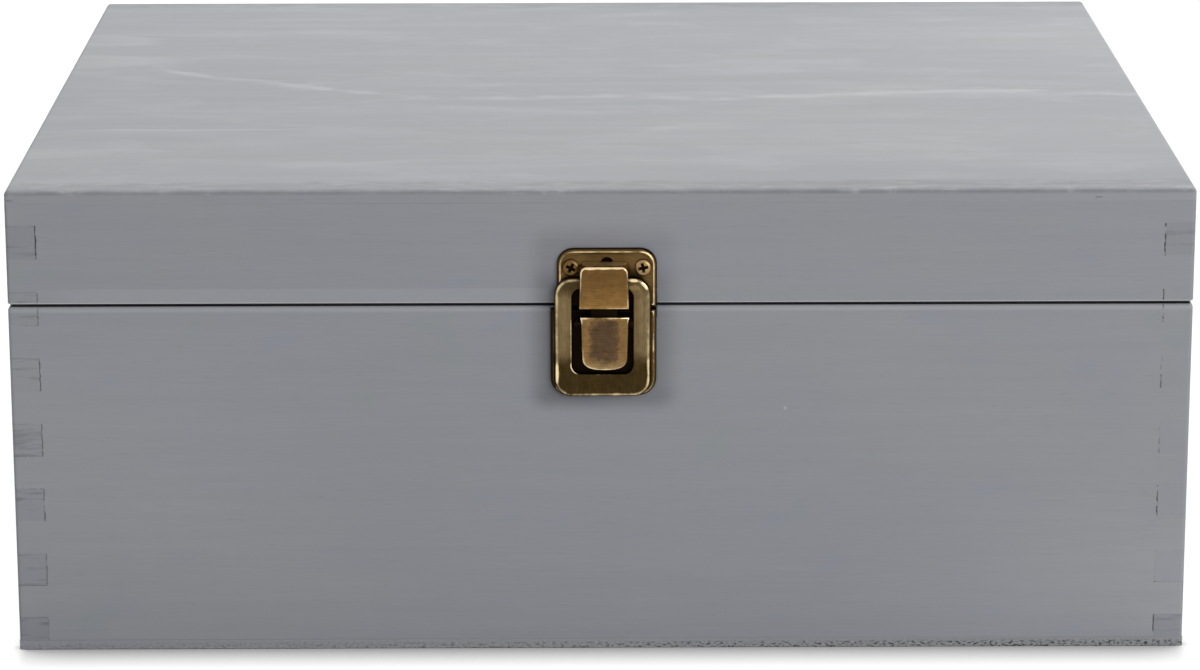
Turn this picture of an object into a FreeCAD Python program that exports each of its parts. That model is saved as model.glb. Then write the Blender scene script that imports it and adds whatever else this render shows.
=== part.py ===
import FreeCAD, Part
import math
import os
import Sketcher

# A finger-jointed wooden keepsake box with a hinged lid and a sprung latch.
# X runs to the right, Y to the back and Z up; the origin is the middle of the underside.

# Driving sizes in millimetres, kept in the document's spreadsheet
SIZES = {
    # Wooden box
    "box_width": 356.0,
    "box_depth": 305.0,
    "box_height": 144.0,
    "lid_height": 35.05,
    "lid_gap": 0.7,
    "wall": 9.0,
    "top_panel": 4.0,
    "bottom_panel": 3.0,
    "finger": 10.25,
    "corner_round": 1.2,
    "top_round": 1.6,
    "base_rim_round": 1.3,
    "lid_rim_round": 0.6,
    "foot_round": 1.0,
    "overrun": 2.0,
    # Hinges on the back
    "hinge_inset": 68.0,
    "hinge_length": 30.0,
    "leaf_height": 13.0,
    "leaf_thick": 1.0,
    "leaf_round": 2.0,
    "knuckle_radius": 2.0,
    "knuckle_clearance": 0.2,
    "knuckle_gap": 0.3,
    "hinge_pin_radius": 1.0,
    "running_clearance": 0.05,
    "leaf_screw_pitch": 18.0,
    "leaf_screw_drop": 8.6,
    # Screws
    "hinge_head_radius": 1.8,
    "hinge_head_height": 0.8,
    "latch_head_radius": 2.45,
    "latch_head_height": 1.1,
    "catch_head_radius": 2.0,
    "head_round": 0.55,
    "shank_radius": 1.1,
    "shank_length": 8.0,
    "hinge_shank_length": 7.0,
    "shank_point": 2.0,
    "pilot_clearance": 0.05,
    # Latch plates
    "latch_offset": 1.8,
    "bill_offset": 0.9,
    "plate_stand": 2.0,
    "plate_sheet": 0.8,
    "plate_edge_round": 0.6,
    "sliding_gap": 0.3,
    "strike_width": 30.0,
    "strike_height": 17.1,
    "strike_lift": 0.4,
    "strike_round": 5.0,
    "strike_screw_pitch": 21.6,
    "strike_screw_lift": 11.4,
    "peep_radius": 1.9,
    "peep_lift": 12.1,
    "window_width": 10.0,
    "window_height": 4.8,
    "catch_width": 31.0,
    "catch_drop": 1.5,
    "catch_foot": 0.5,
    "catch_round": 5.4,
    "catch_screw_pitch": 10.4,
    # Ring-shaped frame
    "frame_width": 28.0,
    "frame_height": 36.6,
    "frame_lift": 8.9,
    "frame_thick": 2.0,
    "frame_side_bar": 4.9,
    "frame_top_bar": 3.2,
    "frame_bottom_bar": 7.1,
    "frame_round": 5.2,
    "opening_round": 2.8,
    "frame_edge_round": 0.9,
    # Upper bill on the lid
    "tongue_width": 15.0,
    "tongue_top_width": 14.3,
    "tongue_height": 12.9,
    "tongue_drop": 0.5,
    "tongue_out": 6.4,
    "tongue_sheet": 0.8,
    "tongue_round": 1.9,
    "tongue_bend": 1.2,
    "tongue_flange": 3.4,
    "tongue_lip": 1.0,
    # Lower bill, the lever
    "pivot_out": 3.7,
    "pivot_drop": 5.0,
    "lever_width": 15.0,
    "lever_foot_width": 13.2,
    "lever_top_drop": 2.6,
    "lever_foot_gap": 1.2,
    "lever_bulge": 1.4,
    "lever_bulge_round": 16.0,
    "lever_foot_round": 3.4,
    "lever_inside": 5.0,
    "lever_sheet": 0.9,
    "lever_edge_round": 0.4,
    "cheek_sheet": 0.8,
    "cheek_radius": 1.3,
    "nose_width": 8.0,
    "nose_inside": 3.4,
    "barb_out": 1.0,
    "barb_height": 1.4,
    "barb_slope": 0.8,
    "ear_sheet": 0.8,
    "ear_radius": 1.5,
    "latch_pin_radius": 0.7,
    "latch_pin_end": 0.3,
    # Leaf spring behind the lever
    "spring_width": 4.0,
    "spring_sheet": 0.3,
    "spring_foot_drop": 12.0,
    "spring_bend_drop": 8.3,
    "spring_tip_drop": 3.0,
}

# Number of knuckles on each leaf of a hinge
BASE_KNUCKLES = 3
LID_KNUCKLES = 2

# Shares of the sizes that they follow
EAR_ROUND_SHARE = 0.96
CHEEK_INSET_SHARE = 0.5

# How closely a face has to look along a direction, and lie at a place, to be the one meant
FACING_SHARE = 0.99
SAME_PLACE = 1e-6

# Angles in degrees
FULL_TURN = 360.0
QUARTER_TURN = 90.0
HALF_TURN = 180.0


class Size:
    """A length with its present value and its expression on the sheet."""

    def __init__(self, value, text):
        self.value = value
        self.text = text

    def joined(self, sign, other, value):
        return Size(value, "(%s %s %s)" % (self.text, sign, other.text))

    def __add__(self, other):
        other = as_size(other)
        return self.joined("+", other, self.value + other.value)

    def __sub__(self, other):
        other = as_size(other)
        return self.joined("-", other, self.value - other.value)

    def __mul__(self, other):
        other = as_size(other)
        return self.joined("*", other, self.value * other.value)

    def __truediv__(self, other):
        other = as_size(other)
        return self.joined("/", other, self.value / other.value)

    def __neg__(self):
        return Size(-self.value, "(0 - %s)" % self.text)


def as_size(item):
    """Take a plain count or factor as a size."""
    if isinstance(item, Size):
        return item
    return Size(float(item), repr(float(item)))


def whole(size):
    """The whole number below a size."""
    return Size(math.floor(size.value), "floor(%s)" % size.text)


class Sheet:
    """The sizes by name, each tied to its cell of the document's spreadsheet."""

    def __init__(self, document):
        table = document.addObject("Spreadsheet::Sheet", "Sizes")
        for row, (alias, value) in enumerate(SIZES.items(), start=1):
            table.set("A%d" % row, alias)
            table.set("B%d" % row, str(value))
            table.setAlias("B%d" % row, alias)
            setattr(self, alias, Size(value, "Sizes." + alias))


doc = FreeCAD.newDocument("KeepsakeBox")
dim = Sheet(doc)
doc.recompute()
ZERO = as_size(0)

# Places that several pieces share
half_width = dim.box_width / 2
half_depth = dim.box_depth / 2
split_height = dim.box_height - dim.lid_height - dim.lid_gap / 2
base_top = split_height - dim.lid_gap / 2
lid_bottom = split_height + dim.lid_gap / 2
wall_bottom = dim.bottom_panel
wall_top = dim.box_height - dim.top_panel
finger_pitch = dim.finger * 2
hinge_out = dim.knuckle_radius + dim.knuckle_clearance
hinge_pitch = dim.box_width - dim.hinge_inset * 2
bill_middle = dim.latch_offset - dim.bill_offset
strike_stand = dim.plate_stand - dim.sliding_gap
strike_screw_height = dim.strike_lift + dim.strike_screw_lift
pilot_radius = dim.shank_radius + dim.pilot_clearance
frame_foot_drop = dim.frame_height - dim.frame_lift
opening_foot_drop = frame_foot_drop - dim.frame_bottom_bar
catch_screw_drop = (dim.pivot_drop + opening_foot_drop) / 2


def bind(thing, prop, size):
    """Tie a property to its expression on the sheet."""
    thing.setExpression(prop, as_size(size).text)


def place(thing, x, y, z):
    """Put a piece at a place worked out from the sizes."""
    bind(thing, "Placement.Base.x", x)
    bind(thing, "Placement.Base.y", y)
    bind(thing, "Placement.Base.z", z)


def new_body(label):
    body = doc.addObject("PartDesign::Body", label)
    body.Label = label
    return body


def origin_feature(body, role):
    for feature in body.Origin.OriginFeatures:
        if feature.Role == role:
            return feature
    raise ValueError("no origin feature " + role)


def sketch_on(body, name, role, offset=ZERO):
    """A sketch on one of the body's own origin planes, moved along its normal."""
    sketch = body.newObject("Sketcher::SketchObject", name)
    sketch.AttachmentSupport = [(origin_feature(body, role), "")]
    sketch.MapMode = "FlatFace"
    bind(sketch, "AttachmentOffset.Base.z", offset)
    return sketch


def constrain(sketch, size, *where):
    """Add a dimension that follows a size."""
    kind = where[0]
    places = where[1:]
    index = sketch.addConstraint(Sketcher.Constraint(kind, *places, size.value))
    bind(sketch, "Constraints[%d]" % index, size)


def spot(across, up):
    return FreeCAD.Vector(across.value, up.value, 0)


def mark(sketch, across, up):
    """A construction point that carries the two dimensions of a corner."""
    index = sketch.addGeometry(Part.Point(spot(across, up)), True)
    constrain(sketch, across, "DistanceX", -1, 1, index, 1)
    constrain(sketch, up, "DistanceY", -1, 1, index, 1)
    return index


def rounding(before, corner, after, radius):
    """The arc that rounds a corner, with its two ends in walking order."""
    back = (before - corner).normalize()
    ahead = (after - corner).normalize()
    half_angle = back.getAngle(ahead) / 2
    reach = radius / math.tan(half_angle)
    inward = (back + ahead).normalize()
    middle = corner + inward * (radius / math.sin(half_angle) - radius)
    first = corner + back * reach
    last = corner + ahead * reach
    turns_left = (corner - before).cross(after - corner).z > 0
    return first, middle, last, turns_left


def outline(sketch, corners):
    """A closed outline through corners (across, up) or (across, up, radius)."""
    count = len(corners)
    marks = [mark(sketch, corner[0], corner[1]) for corner in corners]
    spots = [spot(corner[0], corner[1]) for corner in corners]
    arrives = []
    leaves = []
    arcs = []
    for index, corner in enumerate(corners):
        if len(corner) == 2:
            arrives.append(spots[index])
            leaves.append(spots[index])
            arcs.append(None)
            continue
        before = spots[index - 1]
        after = spots[(index + 1) % count]
        first, middle, last, turns_left = rounding(before, spots[index], after, corner[2].value)
        arc = sketch.addGeometry(Part.Arc(first, middle, last), False)
        arrives.append(first)
        leaves.append(last)
        arcs.append((arc, 1 if turns_left else 2, 2 if turns_left else 1))
    lines = []
    for index in range(count):
        ahead = arrives[(index + 1) % count]
        lines.append(sketch.addGeometry(Part.LineSegment(leaves[index], ahead), False))
    for index, corner in enumerate(corners):
        into = lines[index - 1]
        out = lines[index]
        if arcs[index] is None:
            sketch.addConstraint(Sketcher.Constraint("Coincident", into, 2, marks[index], 1))
            sketch.addConstraint(Sketcher.Constraint("Coincident", out, 1, marks[index], 1))
            continue
        arc, start, end = arcs[index]
        sketch.addConstraint(Sketcher.Constraint("Tangent", into, 2, arc, start))
        sketch.addConstraint(Sketcher.Constraint("Tangent", out, 1, arc, end))
        sketch.addConstraint(Sketcher.Constraint("PointOnObject", marks[index], 1, into))
        sketch.addConstraint(Sketcher.Constraint("PointOnObject", marks[index], 1, out))
        constrain(sketch, corner[2], "Radius", arc)


def rectangle(sketch, left, bottom, right, top):
    outline(sketch, [(left, bottom), (right, bottom), (right, top), (left, top)])


def circle(sketch, across, up, radius):
    shape = Part.Circle(spot(across, up), FreeCAD.Vector(0, 0, 1), radius.value)
    index = sketch.addGeometry(shape, False)
    constrain(sketch, across, "DistanceX", -1, 1, index, 3)
    constrain(sketch, up, "DistanceY", -1, 1, index, 3)
    constrain(sketch, radius, "Radius", index)


def pad(body, name, sketch, length):
    feature = body.newObject("PartDesign::Pad", name)
    feature.Profile = sketch
    bind(feature, "Length", length)
    return feature


def pocket(body, name, sketch, depth, reverse=False):
    feature = body.newObject("PartDesign::Pocket", name)
    feature.Profile = sketch
    feature.Reversed = reverse
    bind(feature, "Length", depth)
    return feature


def pattern(body, name, features, role, spacing, count):
    """Repeat features along one of the body's own axes."""
    feature = body.newObject("PartDesign::LinearPattern", name)
    feature.Originals = features
    feature.Direction = (origin_feature(body, role), [""])
    bind(feature, "Length", spacing * (as_size(count) - 1))
    bind(feature, "Occurrences", count)
    body.Tip = feature
    return feature


def face_at(shape, direction, place_along):
    """The name of the flat face that looks along a direction at a given place."""
    for index, face in enumerate(shape.Faces, start=1):
        flat = isinstance(face.Surface, Part.Plane)
        if not flat:
            continue
        looks = face.normalAt(0, 0).dot(direction)
        apart = abs(face.CenterOfMass.dot(direction) - place_along)
        if looks > FACING_SHARE and apart < SAME_PLACE:
            return "Face%d" % index
    raise ValueError("no such face")


def ease(body, name, base, direction, place_along, radius):
    """Round all edges of one flat face."""
    doc.recompute()
    feature = body.newObject("PartDesign::Fillet", name)
    feature.Base = (base, [face_at(base.Shape, direction, place_along.value)])
    bind(feature, "Radius", radius)
    return feature


def common(label, first, second):
    feature = doc.addObject("Part::Common", label)
    feature.Label = label
    feature.Base = first
    feature.Tool = second
    return feature


UP = FreeCAD.Vector(0, 0, 1)
DOWN = FreeCAD.Vector(0, 0, -1)
FRONT = FreeCAD.Vector(0, -1, 0)


# Wooden boards


def envelope(label, bottom, top, bottom_round, upper_round):
    """The outside of the base or the lid, with its eased edges."""
    body = new_body(label)
    sketch = sketch_on(body, label + "_plan", "XY_Plane", bottom)
    rounded = dim.corner_round
    outline(sketch, [
        (-half_width, -half_depth, rounded),
        (half_width, -half_depth, rounded),
        (half_width, half_depth, rounded),
        (-half_width, half_depth, rounded),
    ])
    block = pad(body, label + "_block", sketch, top - bottom)
    lower = ease(body, label + "_lower_edges", block, DOWN, -bottom, bottom_round)
    ease(body, label + "_upper_edges", lower, UP, top, upper_round)
    return body


def finger_notches(body, name, role, far_face, half_length, first, depth):
    """Notches at both ends of a board, one finger high, repeated up the board."""
    sketch = sketch_on(body, name + "_first", role, far_face)
    outer = half_length + dim.overrun
    inner = half_length - dim.wall
    rectangle(sketch, -outer, first, -inner, first + dim.finger)
    rectangle(sketch, inner, first, outer, first + dim.finger)
    cut = pocket(body, name + "_cut", sketch, depth)
    count = whole((wall_top - first) / finger_pitch) + 1
    return pattern(body, name + "_row", [cut], "Z_Axis", finger_pitch, count)


def pilot_holes(body, name, face, spots, depth, reverse):
    """Holes for the wood screws in a front or back board."""
    sketch = sketch_on(body, name, "XZ_Plane", face)
    for across, up in spots:
        circle(sketch, across, up, pilot_radius)
    pocket(body, name + "_cut", sketch, depth, reverse)


def pair(middle, pitch):
    """Two places on either side of a middle."""
    return [middle - pitch / 2, middle + pitch / 2]


def long_board(label, outer_face):
    """A front or back board, full height, with its corner notches."""
    body = new_body(label)
    sketch = sketch_on(body, label + "_face", "XZ_Plane", outer_face - dim.wall)
    rectangle(sketch, -half_width, wall_bottom, half_width, wall_top)
    pad(body, label + "_board", sketch, dim.wall)
    finger_notches(body, label + "_notch", "XZ_Plane", outer_face, half_width, ZERO, dim.wall)
    return body


def side_board(label, left_face):
    """A left or right board, full height, with its corner notches."""
    body = new_body(label)
    sketch = sketch_on(body, label + "_face", "YZ_Plane", left_face)
    rectangle(sketch, -half_depth, wall_bottom, half_depth, wall_top)
    pad(body, label + "_board", sketch, dim.wall)
    right_face = left_face + dim.wall
    finger_notches(body, label + "_notch", "YZ_Plane", right_face, half_depth, dim.finger, dim.wall)
    return body


def panel(label, bottom, thick):
    """A thin panel that covers the walls' edges."""
    body = new_body(label)
    sketch = sketch_on(body, label + "_plan", "XY_Plane", bottom)
    rectangle(sketch, -half_width, -half_depth, half_width, half_depth)
    pad(body, label + "_sheet", sketch, thick)
    return body


def hinge_screw_spots(rise):
    """Places of the hinge screws on the back, at one height beside the lid line."""
    spots = []
    for middle in pair(ZERO, hinge_pitch):
        for across in pair(middle, dim.leaf_screw_pitch):
            spots.append((across, split_height + rise))
    return spots


strike_spots = [(across, split_height + strike_screw_height)
                for across in pair(dim.latch_offset, dim.strike_screw_pitch)]
catch_spots = [(across, split_height - catch_screw_drop)
               for across in pair(bill_middle, dim.catch_screw_pitch)]
base_hinge_spots = hinge_screw_spots(-dim.leaf_screw_drop)
lid_hinge_spots = hinge_screw_spots(dim.leaf_screw_drop)

front_blank = long_board("front_blank", half_depth)
strike_depth = dim.shank_length - strike_stand + dim.sliding_gap
catch_depth = dim.shank_length - dim.plate_stand + dim.sliding_gap
pilot_holes(front_blank, "strike_pilots", half_depth, strike_spots, strike_depth, False)
pilot_holes(front_blank, "catch_pilots", half_depth, catch_spots, catch_depth, False)

back_blank = long_board("back_blank", -half_depth + dim.wall)
hinge_depth = dim.hinge_shank_length - dim.leaf_thick + dim.sliding_gap
hinge_spots = base_hinge_spots + lid_hinge_spots
pilot_holes(back_blank, "hinge_pilots", -half_depth, hinge_spots, hinge_depth, True)

left_blank = side_board("left_blank", -half_width)
right_blank = side_board("right_blank", half_width - dim.wall)

base_outside = envelope("base_outside", ZERO, base_top, dim.foot_round, dim.base_rim_round)
lid_outside = envelope("lid_outside", lid_bottom, dim.box_height, dim.lid_rim_round, dim.top_round)

# The box is glued up closed and then sawn apart, so each board gives a base wall and a lid wall.
nodes = []
for side, blank in (("front", front_blank), ("back", back_blank),
                    ("left", left_blank), ("right", right_blank)):
    nodes.append(common("base_%s_wall" % side, blank, base_outside))
    nodes.append(common("lid_%s_wall" % side, blank, lid_outside))
bottom_sheet = panel("bottom_sheet", ZERO, dim.bottom_panel)
top_sheet = panel("top_sheet", wall_top, dim.top_panel)
nodes.append(common("base_bottom_panel", bottom_sheet, base_outside))
nodes.append(common("lid_top_panel", top_sheet, lid_outside))


# Screws


def screw(label, head_radius, head_height, shank_length):
    """A wood screw along Y, head towards the front, its seat at the origin."""
    body = new_body(label)
    sketch = sketch_on(body, label + "_profile", "XY_Plane")
    outline(sketch, [
        (ZERO, -head_height),
        (head_radius, -head_height, dim.head_round),
        (head_radius, ZERO),
        (dim.shank_radius, ZERO),
        (dim.shank_radius, shank_length - dim.shank_point),
        (ZERO, shank_length),
    ])
    turned = body.newObject("PartDesign::Revolution", label + "_turned")
    turned.Profile = sketch
    turned.ReferenceAxis = (sketch, ["V_Axis"])
    turned.Angle = FULL_TURN
    return body


def screw_group(label, spots, seat, head_radius, head_height, shank_length, to_the_back=False):
    """Identical screws as one group of separate solids."""
    screws = []
    for number, (across, up) in enumerate(spots, start=1):
        body = screw("%s_%d" % (label, number), head_radius, head_height, shank_length)
        if to_the_back:
            body.Placement = FreeCAD.Placement(FreeCAD.Vector(), FreeCAD.Rotation(UP, HALF_TURN))
        place(body, across, seat, up)
        screws.append(body)
    group = doc.addObject("Part::Compound", label)
    group.Label = label
    group.Links = screws
    return group


back_seat = half_depth + dim.leaf_thick
hinge_screw = (dim.hinge_head_radius, dim.hinge_head_height, dim.hinge_shank_length, True)
nodes.append(screw_group("hinge_base_screws", base_hinge_spots, back_seat, *hinge_screw))
nodes.append(screw_group("hinge_lid_screws", lid_hinge_spots, back_seat, *hinge_screw))
nodes.append(screw_group("strike_screws", strike_spots, -half_depth - strike_stand,
                         dim.latch_head_radius, dim.latch_head_height, dim.shank_length))
nodes.append(screw_group("catch_screws", catch_spots, -half_depth - dim.plate_stand,
                         dim.catch_head_radius, dim.latch_head_height, dim.shank_length))


# Hinges, drawn about the pin's axis


def leaf(label, middle, upward, knuckle_count, first_slot):
    """One leaf with its knuckles; the two leaves of a hinge share the same slots."""
    body = new_body(label)
    slots = BASE_KNUCKLES + LID_KNUCKLES
    half_length = dim.hinge_length / 2
    slot = dim.hinge_length / slots
    wood_face = -hinge_out
    outer_face = wood_face + dim.leaf_thick
    near = dim.knuckle_radius + dim.knuckle_gap
    sign = 1 if upward else -1
    plate = sketch_on(body, label + "_face", "XZ_Plane", -outer_face)
    corners = [
        (-half_length, near * sign),
        (half_length, near * sign),
        (half_length, dim.leaf_height * sign, dim.leaf_round),
        (-half_length, dim.leaf_height * sign, dim.leaf_round),
    ]
    outline(plate, corners if upward else corners[::-1])
    pad(body, label + "_sheet", plate, dim.leaf_thick)
    start = -half_length + slot * first_slot + dim.knuckle_gap / 2
    length = slot - dim.knuckle_gap
    round_part = sketch_on(body, label + "_knuckle", "YZ_Plane", start)
    circle(round_part, ZERO, ZERO, dim.knuckle_radius)
    knuckle = pad(body, label + "_knuckle_pad", round_part, length)
    strap = sketch_on(body, label + "_strap", "YZ_Plane", start)
    low = ZERO if upward else -near
    high = near if upward else ZERO
    rectangle(strap, wood_face, low, outer_face, high)
    strap_pad = pad(body, label + "_strap_pad", strap, length)
    pattern(body, label + "_row", [knuckle, strap_pad], "X_Axis", slot * 2, knuckle_count)
    bore = sketch_on(body, label + "_bore", "YZ_Plane", half_length)
    circle(bore, ZERO, ZERO, dim.hinge_pin_radius + dim.running_clearance)
    pocket(body, label + "_bore_cut", bore, dim.hinge_length)
    holes = sketch_on(body, label + "_holes", "XZ_Plane", -wood_face)
    for across in pair(ZERO, dim.leaf_screw_pitch):
        circle(holes, across, dim.leaf_screw_drop * sign, pilot_radius)
    pocket(body, label + "_holes_cut", holes, dim.leaf_thick)
    place(body, middle, half_depth + hinge_out, split_height)
    return body


def pin(label, radius, length, middle, y, z):
    """A plain pin along X."""
    rod = doc.addObject("Part::Cylinder", label)
    rod.Label = label
    bind(rod, "Radius", radius)
    bind(rod, "Height", length)
    across = FreeCAD.Rotation(FreeCAD.Vector(0, 1, 0), QUARTER_TURN)
    rod.Placement = FreeCAD.Placement(FreeCAD.Vector(), across)
    place(rod, middle - length / 2, y, z)
    return rod


for side, hinge_middle in zip(("left", "right"), pair(ZERO, hinge_pitch)):
    name = side + "_hinge_"
    nodes.append(leaf(name + "base_leaf", hinge_middle, False, BASE_KNUCKLES, 0))
    nodes.append(leaf(name + "lid_leaf", hinge_middle, True, LID_KNUCKLES, 1))
    nodes.append(pin(name + "pin", dim.hinge_pin_radius, dim.hinge_length,
                     hinge_middle, half_depth + hinge_out, split_height))


# Latch, drawn about the lid line on the front face


def latch_body(label, middle):
    body = new_body(label)
    place(body, middle, -half_depth, split_height)
    return body


def pan(body, label, corners, hollow_corners, stand):
    """A pressed plate: a shallow pan with a rounded front edge and an open back."""
    face = sketch_on(body, label + "_outline", "XZ_Plane")
    outline(face, corners)
    block = pad(body, label + "_block", face, stand)
    ease(body, label + "_front_edges", block, FRONT, stand, dim.plate_edge_round)
    hollow = sketch_on(body, label + "_hollow", "XZ_Plane")
    outline(hollow, hollow_corners)
    pocket(body, label + "_hollow_cut", hollow, stand - dim.plate_sheet, True)


def strike_plate():
    """The plate on the lid, with a window for the lever's nose."""
    label = "strike_plate"
    body = latch_body(label, dim.latch_offset)
    side = dim.strike_width / 2
    low = dim.strike_lift
    high = low + dim.strike_height
    rim = dim.plate_sheet
    pan(body, label, [
        (-side, low),
        (side, low),
        (side, high, dim.strike_round),
        (-side, high, dim.strike_round),
    ], [
        (-side + rim, low + rim),
        (side - rim, low + rim),
        (side - rim, high - rim, dim.strike_round - rim),
        (-side + rim, high - rim, dim.strike_round - rim),
    ], strike_stand)
    holes = sketch_on(body, label + "_holes", "XZ_Plane", strike_stand)
    for across in pair(ZERO, dim.strike_screw_pitch):
        circle(holes, across, strike_screw_height, pilot_radius)
    circle(holes, -dim.bill_offset, low + dim.peep_lift, dim.peep_radius)
    pocket(body, label + "_holes_cut", holes, strike_stand)
    window = sketch_on(body, label + "_window", "XZ_Plane", strike_stand)
    half_window = dim.window_width / 2
    rectangle(window, -half_window - dim.bill_offset, low - dim.overrun,
              half_window - dim.bill_offset, low + dim.window_height)
    pocket(body, label + "_window_cut", window, strike_stand)
    return body


def strike_tongue():
    """The upper bill: a strip bent out from the plate and down, with a lip turned in."""
    label = "strike_tongue"
    half = dim.tongue_width / 2
    half_top = dim.tongue_top_width / 2
    top = dim.tongue_height
    bottom = -dim.tongue_drop
    sheet = dim.tongue_sheet
    out = dim.tongue_out
    strip = latch_body(label + "_strip", bill_middle)
    profile = sketch_on(strip, label + "_profile", "YZ_Plane", -half)
    outline(profile, [
        (-strike_stand, top),
        (-out, top, dim.tongue_bend),
        (-out, bottom),
        (-out + sheet + dim.tongue_lip, bottom),
        (-out + sheet + dim.tongue_lip, bottom + sheet),
        (-out + sheet, bottom + sheet),
        (-out + sheet, top - sheet),
        (-strike_stand - sheet, top - sheet),
        (-strike_stand - sheet, top - dim.tongue_flange),
        (-strike_stand, top - dim.tongue_flange),
    ])
    pad(strip, label + "_bend", profile, dim.tongue_width)
    front = latch_body(label + "_front", bill_middle)
    face = sketch_on(front, label + "_face", "XZ_Plane")
    outline(face, [
        (-half, bottom),
        (half, bottom),
        (half_top, top, dim.tongue_round),
        (-half_top, top, dim.tongue_round),
    ])
    pad(front, label + "_blank", face, out)
    return common(label, strip, front)


def catch_plate():
    """The plate on the base, with two ears that carry the lever's pin."""
    label = "catch_plate"
    body = latch_body(label, dim.latch_offset)
    side = dim.catch_width / 2
    high = -dim.catch_drop
    low = -frame_foot_drop - dim.catch_foot
    rim = dim.plate_sheet
    pan(body, label, [
        (-side, low, dim.catch_round),
        (side, low, dim.catch_round),
        (side, high),
        (-side, high),
    ], [
        (-side + rim, low + rim, dim.catch_round - rim),
        (side - rim, low + rim, dim.catch_round - rim),
        (side - rim, high - rim),
        (-side + rim, high - rim),
    ], dim.plate_stand)
    cheek_face = dim.lever_width / 2 + dim.sliding_gap
    low_ear = -dim.pivot_drop - dim.ear_radius
    high_ear = -dim.pivot_drop + dim.ear_radius
    tip = dim.pivot_out + dim.ear_radius
    foot = dim.plate_stand - dim.plate_sheet / 2
    for name, left in (("left", -cheek_face - dim.ear_sheet), ("right", cheek_face)):
        ear = sketch_on(body, "%s_%s_ear" % (label, name), "YZ_Plane", left - dim.bill_offset)
        outline(ear, [
            (-foot, low_ear),
            (-foot, high_ear),
            (-tip, high_ear, dim.ear_radius * EAR_ROUND_SHARE),
            (-tip, low_ear, dim.ear_radius * EAR_ROUND_SHARE),
        ])
        pad(body, "%s_%s_ear_pad" % (label, name), ear, dim.ear_sheet)
    bore = sketch_on(body, label + "_bore", "YZ_Plane", side)
    circle(bore, -dim.pivot_out, -dim.pivot_drop, dim.latch_pin_radius + dim.running_clearance)
    pocket(body, label + "_bore_cut", bore, dim.catch_width)
    holes = sketch_on(body, label + "_holes", "XZ_Plane", dim.plate_stand)
    for across in pair(-dim.bill_offset, dim.catch_screw_pitch):
        circle(holes, across, -catch_screw_drop, pilot_radius)
    pocket(body, label + "_holes_cut", holes, dim.plate_stand)
    return body


def latch_frame():
    """The ring on the catch plate, which reaches up over the lid line."""
    label = "latch_frame"
    body = latch_body(label, bill_middle)
    side = dim.frame_width / 2
    high = dim.frame_lift
    low = -frame_foot_drop
    rounded = dim.frame_round
    ring = sketch_on(body, label + "_outline", "XZ_Plane", dim.plate_stand)
    outline(ring, [
        (-side, low, rounded),
        (side, low, rounded),
        (side, high, rounded),
        (-side, high, rounded),
    ])
    inside = side - dim.frame_side_bar
    bottom = -opening_foot_drop
    top = high - dim.frame_top_bar
    rounded = dim.opening_round
    outline(ring, [
        (-inside, bottom, rounded),
        (inside, bottom, rounded),
        (inside, top, rounded),
        (-inside, top, rounded),
    ])
    block = pad(body, label + "_ring", ring, dim.frame_thick)
    ease(body, label + "_front_edges", block, FRONT, dim.plate_stand + dim.frame_thick,
         dim.frame_edge_round)
    return body


def latch_lever():
    """The lower bill: plate, two cheeks on the pin and a barbed nose behind the upper bill's lip."""
    label = "latch_lever"
    body = latch_body(label, bill_middle)
    half = dim.lever_width / 2
    half_foot = dim.lever_foot_width / 2
    high = -dim.lever_top_drop
    low = -opening_foot_drop + dim.lever_foot_gap
    outside = dim.lever_inside + dim.lever_sheet
    face = sketch_on(body, label + "_face", "XZ_Plane", dim.lever_inside)
    outline(face, [
        (half, high),
        (-half, high),
        (-half_foot, low + dim.lever_bulge, dim.lever_foot_round),
        (ZERO, low, dim.lever_bulge_round),
        (half_foot, low + dim.lever_bulge, dim.lever_foot_round),
    ])
    plate = pad(body, label + "_plate", face, dim.lever_sheet)
    ease(body, label + "_front_edges", plate, FRONT, outside, dim.lever_edge_round)
    inside = dim.lever_inside + dim.lever_sheet / 2
    low_cheek = -dim.pivot_drop - dim.cheek_radius
    high_cheek = -dim.pivot_drop + dim.cheek_radius
    tip = dim.pivot_out - dim.cheek_radius
    narrow = half - dim.cheek_sheet - dim.cheek_sheet * CHEEK_INSET_SHARE
    for name, left in (("left", -narrow - dim.cheek_sheet), ("right", narrow)):
        cheek = sketch_on(body, "%s_%s_cheek" % (label, name), "YZ_Plane", left)
        outline(cheek, [
            (-inside, low_cheek),
            (-inside, high_cheek),
            (-tip, high_cheek, dim.cheek_radius * EAR_ROUND_SHARE),
            (-tip, low_cheek, dim.cheek_radius * EAR_ROUND_SHARE),
        ])
        pad(body, "%s_%s_cheek_pad" % (label, name), cheek, dim.cheek_sheet)
    shelf = -dim.lever_top_drop - dim.lever_sheet
    nose_outside = dim.nose_inside + dim.lever_sheet
    barb = nose_outside + dim.barb_out
    barb_bottom = dim.tongue_sheet - dim.tongue_drop + dim.sliding_gap
    nose_top = barb_bottom + dim.barb_height
    nose = sketch_on(body, label + "_nose", "YZ_Plane", -dim.nose_width / 2)
    outline(nose, [
        (-inside, high),
        (-inside, shelf),
        (-dim.nose_inside, shelf),
        (-dim.nose_inside, nose_top),
        (-nose_outside, nose_top),
        (-barb, nose_top - dim.barb_slope),
        (-barb, barb_bottom),
        (-nose_outside, barb_bottom),
        (-nose_outside, high),
    ])
    pad(body, label + "_nose_pad", nose, dim.nose_width)
    bore = sketch_on(body, label + "_bore", "YZ_Plane", half)
    circle(bore, -dim.pivot_out, -dim.pivot_drop, dim.latch_pin_radius + dim.running_clearance)
    pocket(body, label + "_bore_cut", bore, dim.lever_width)
    return body


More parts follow.
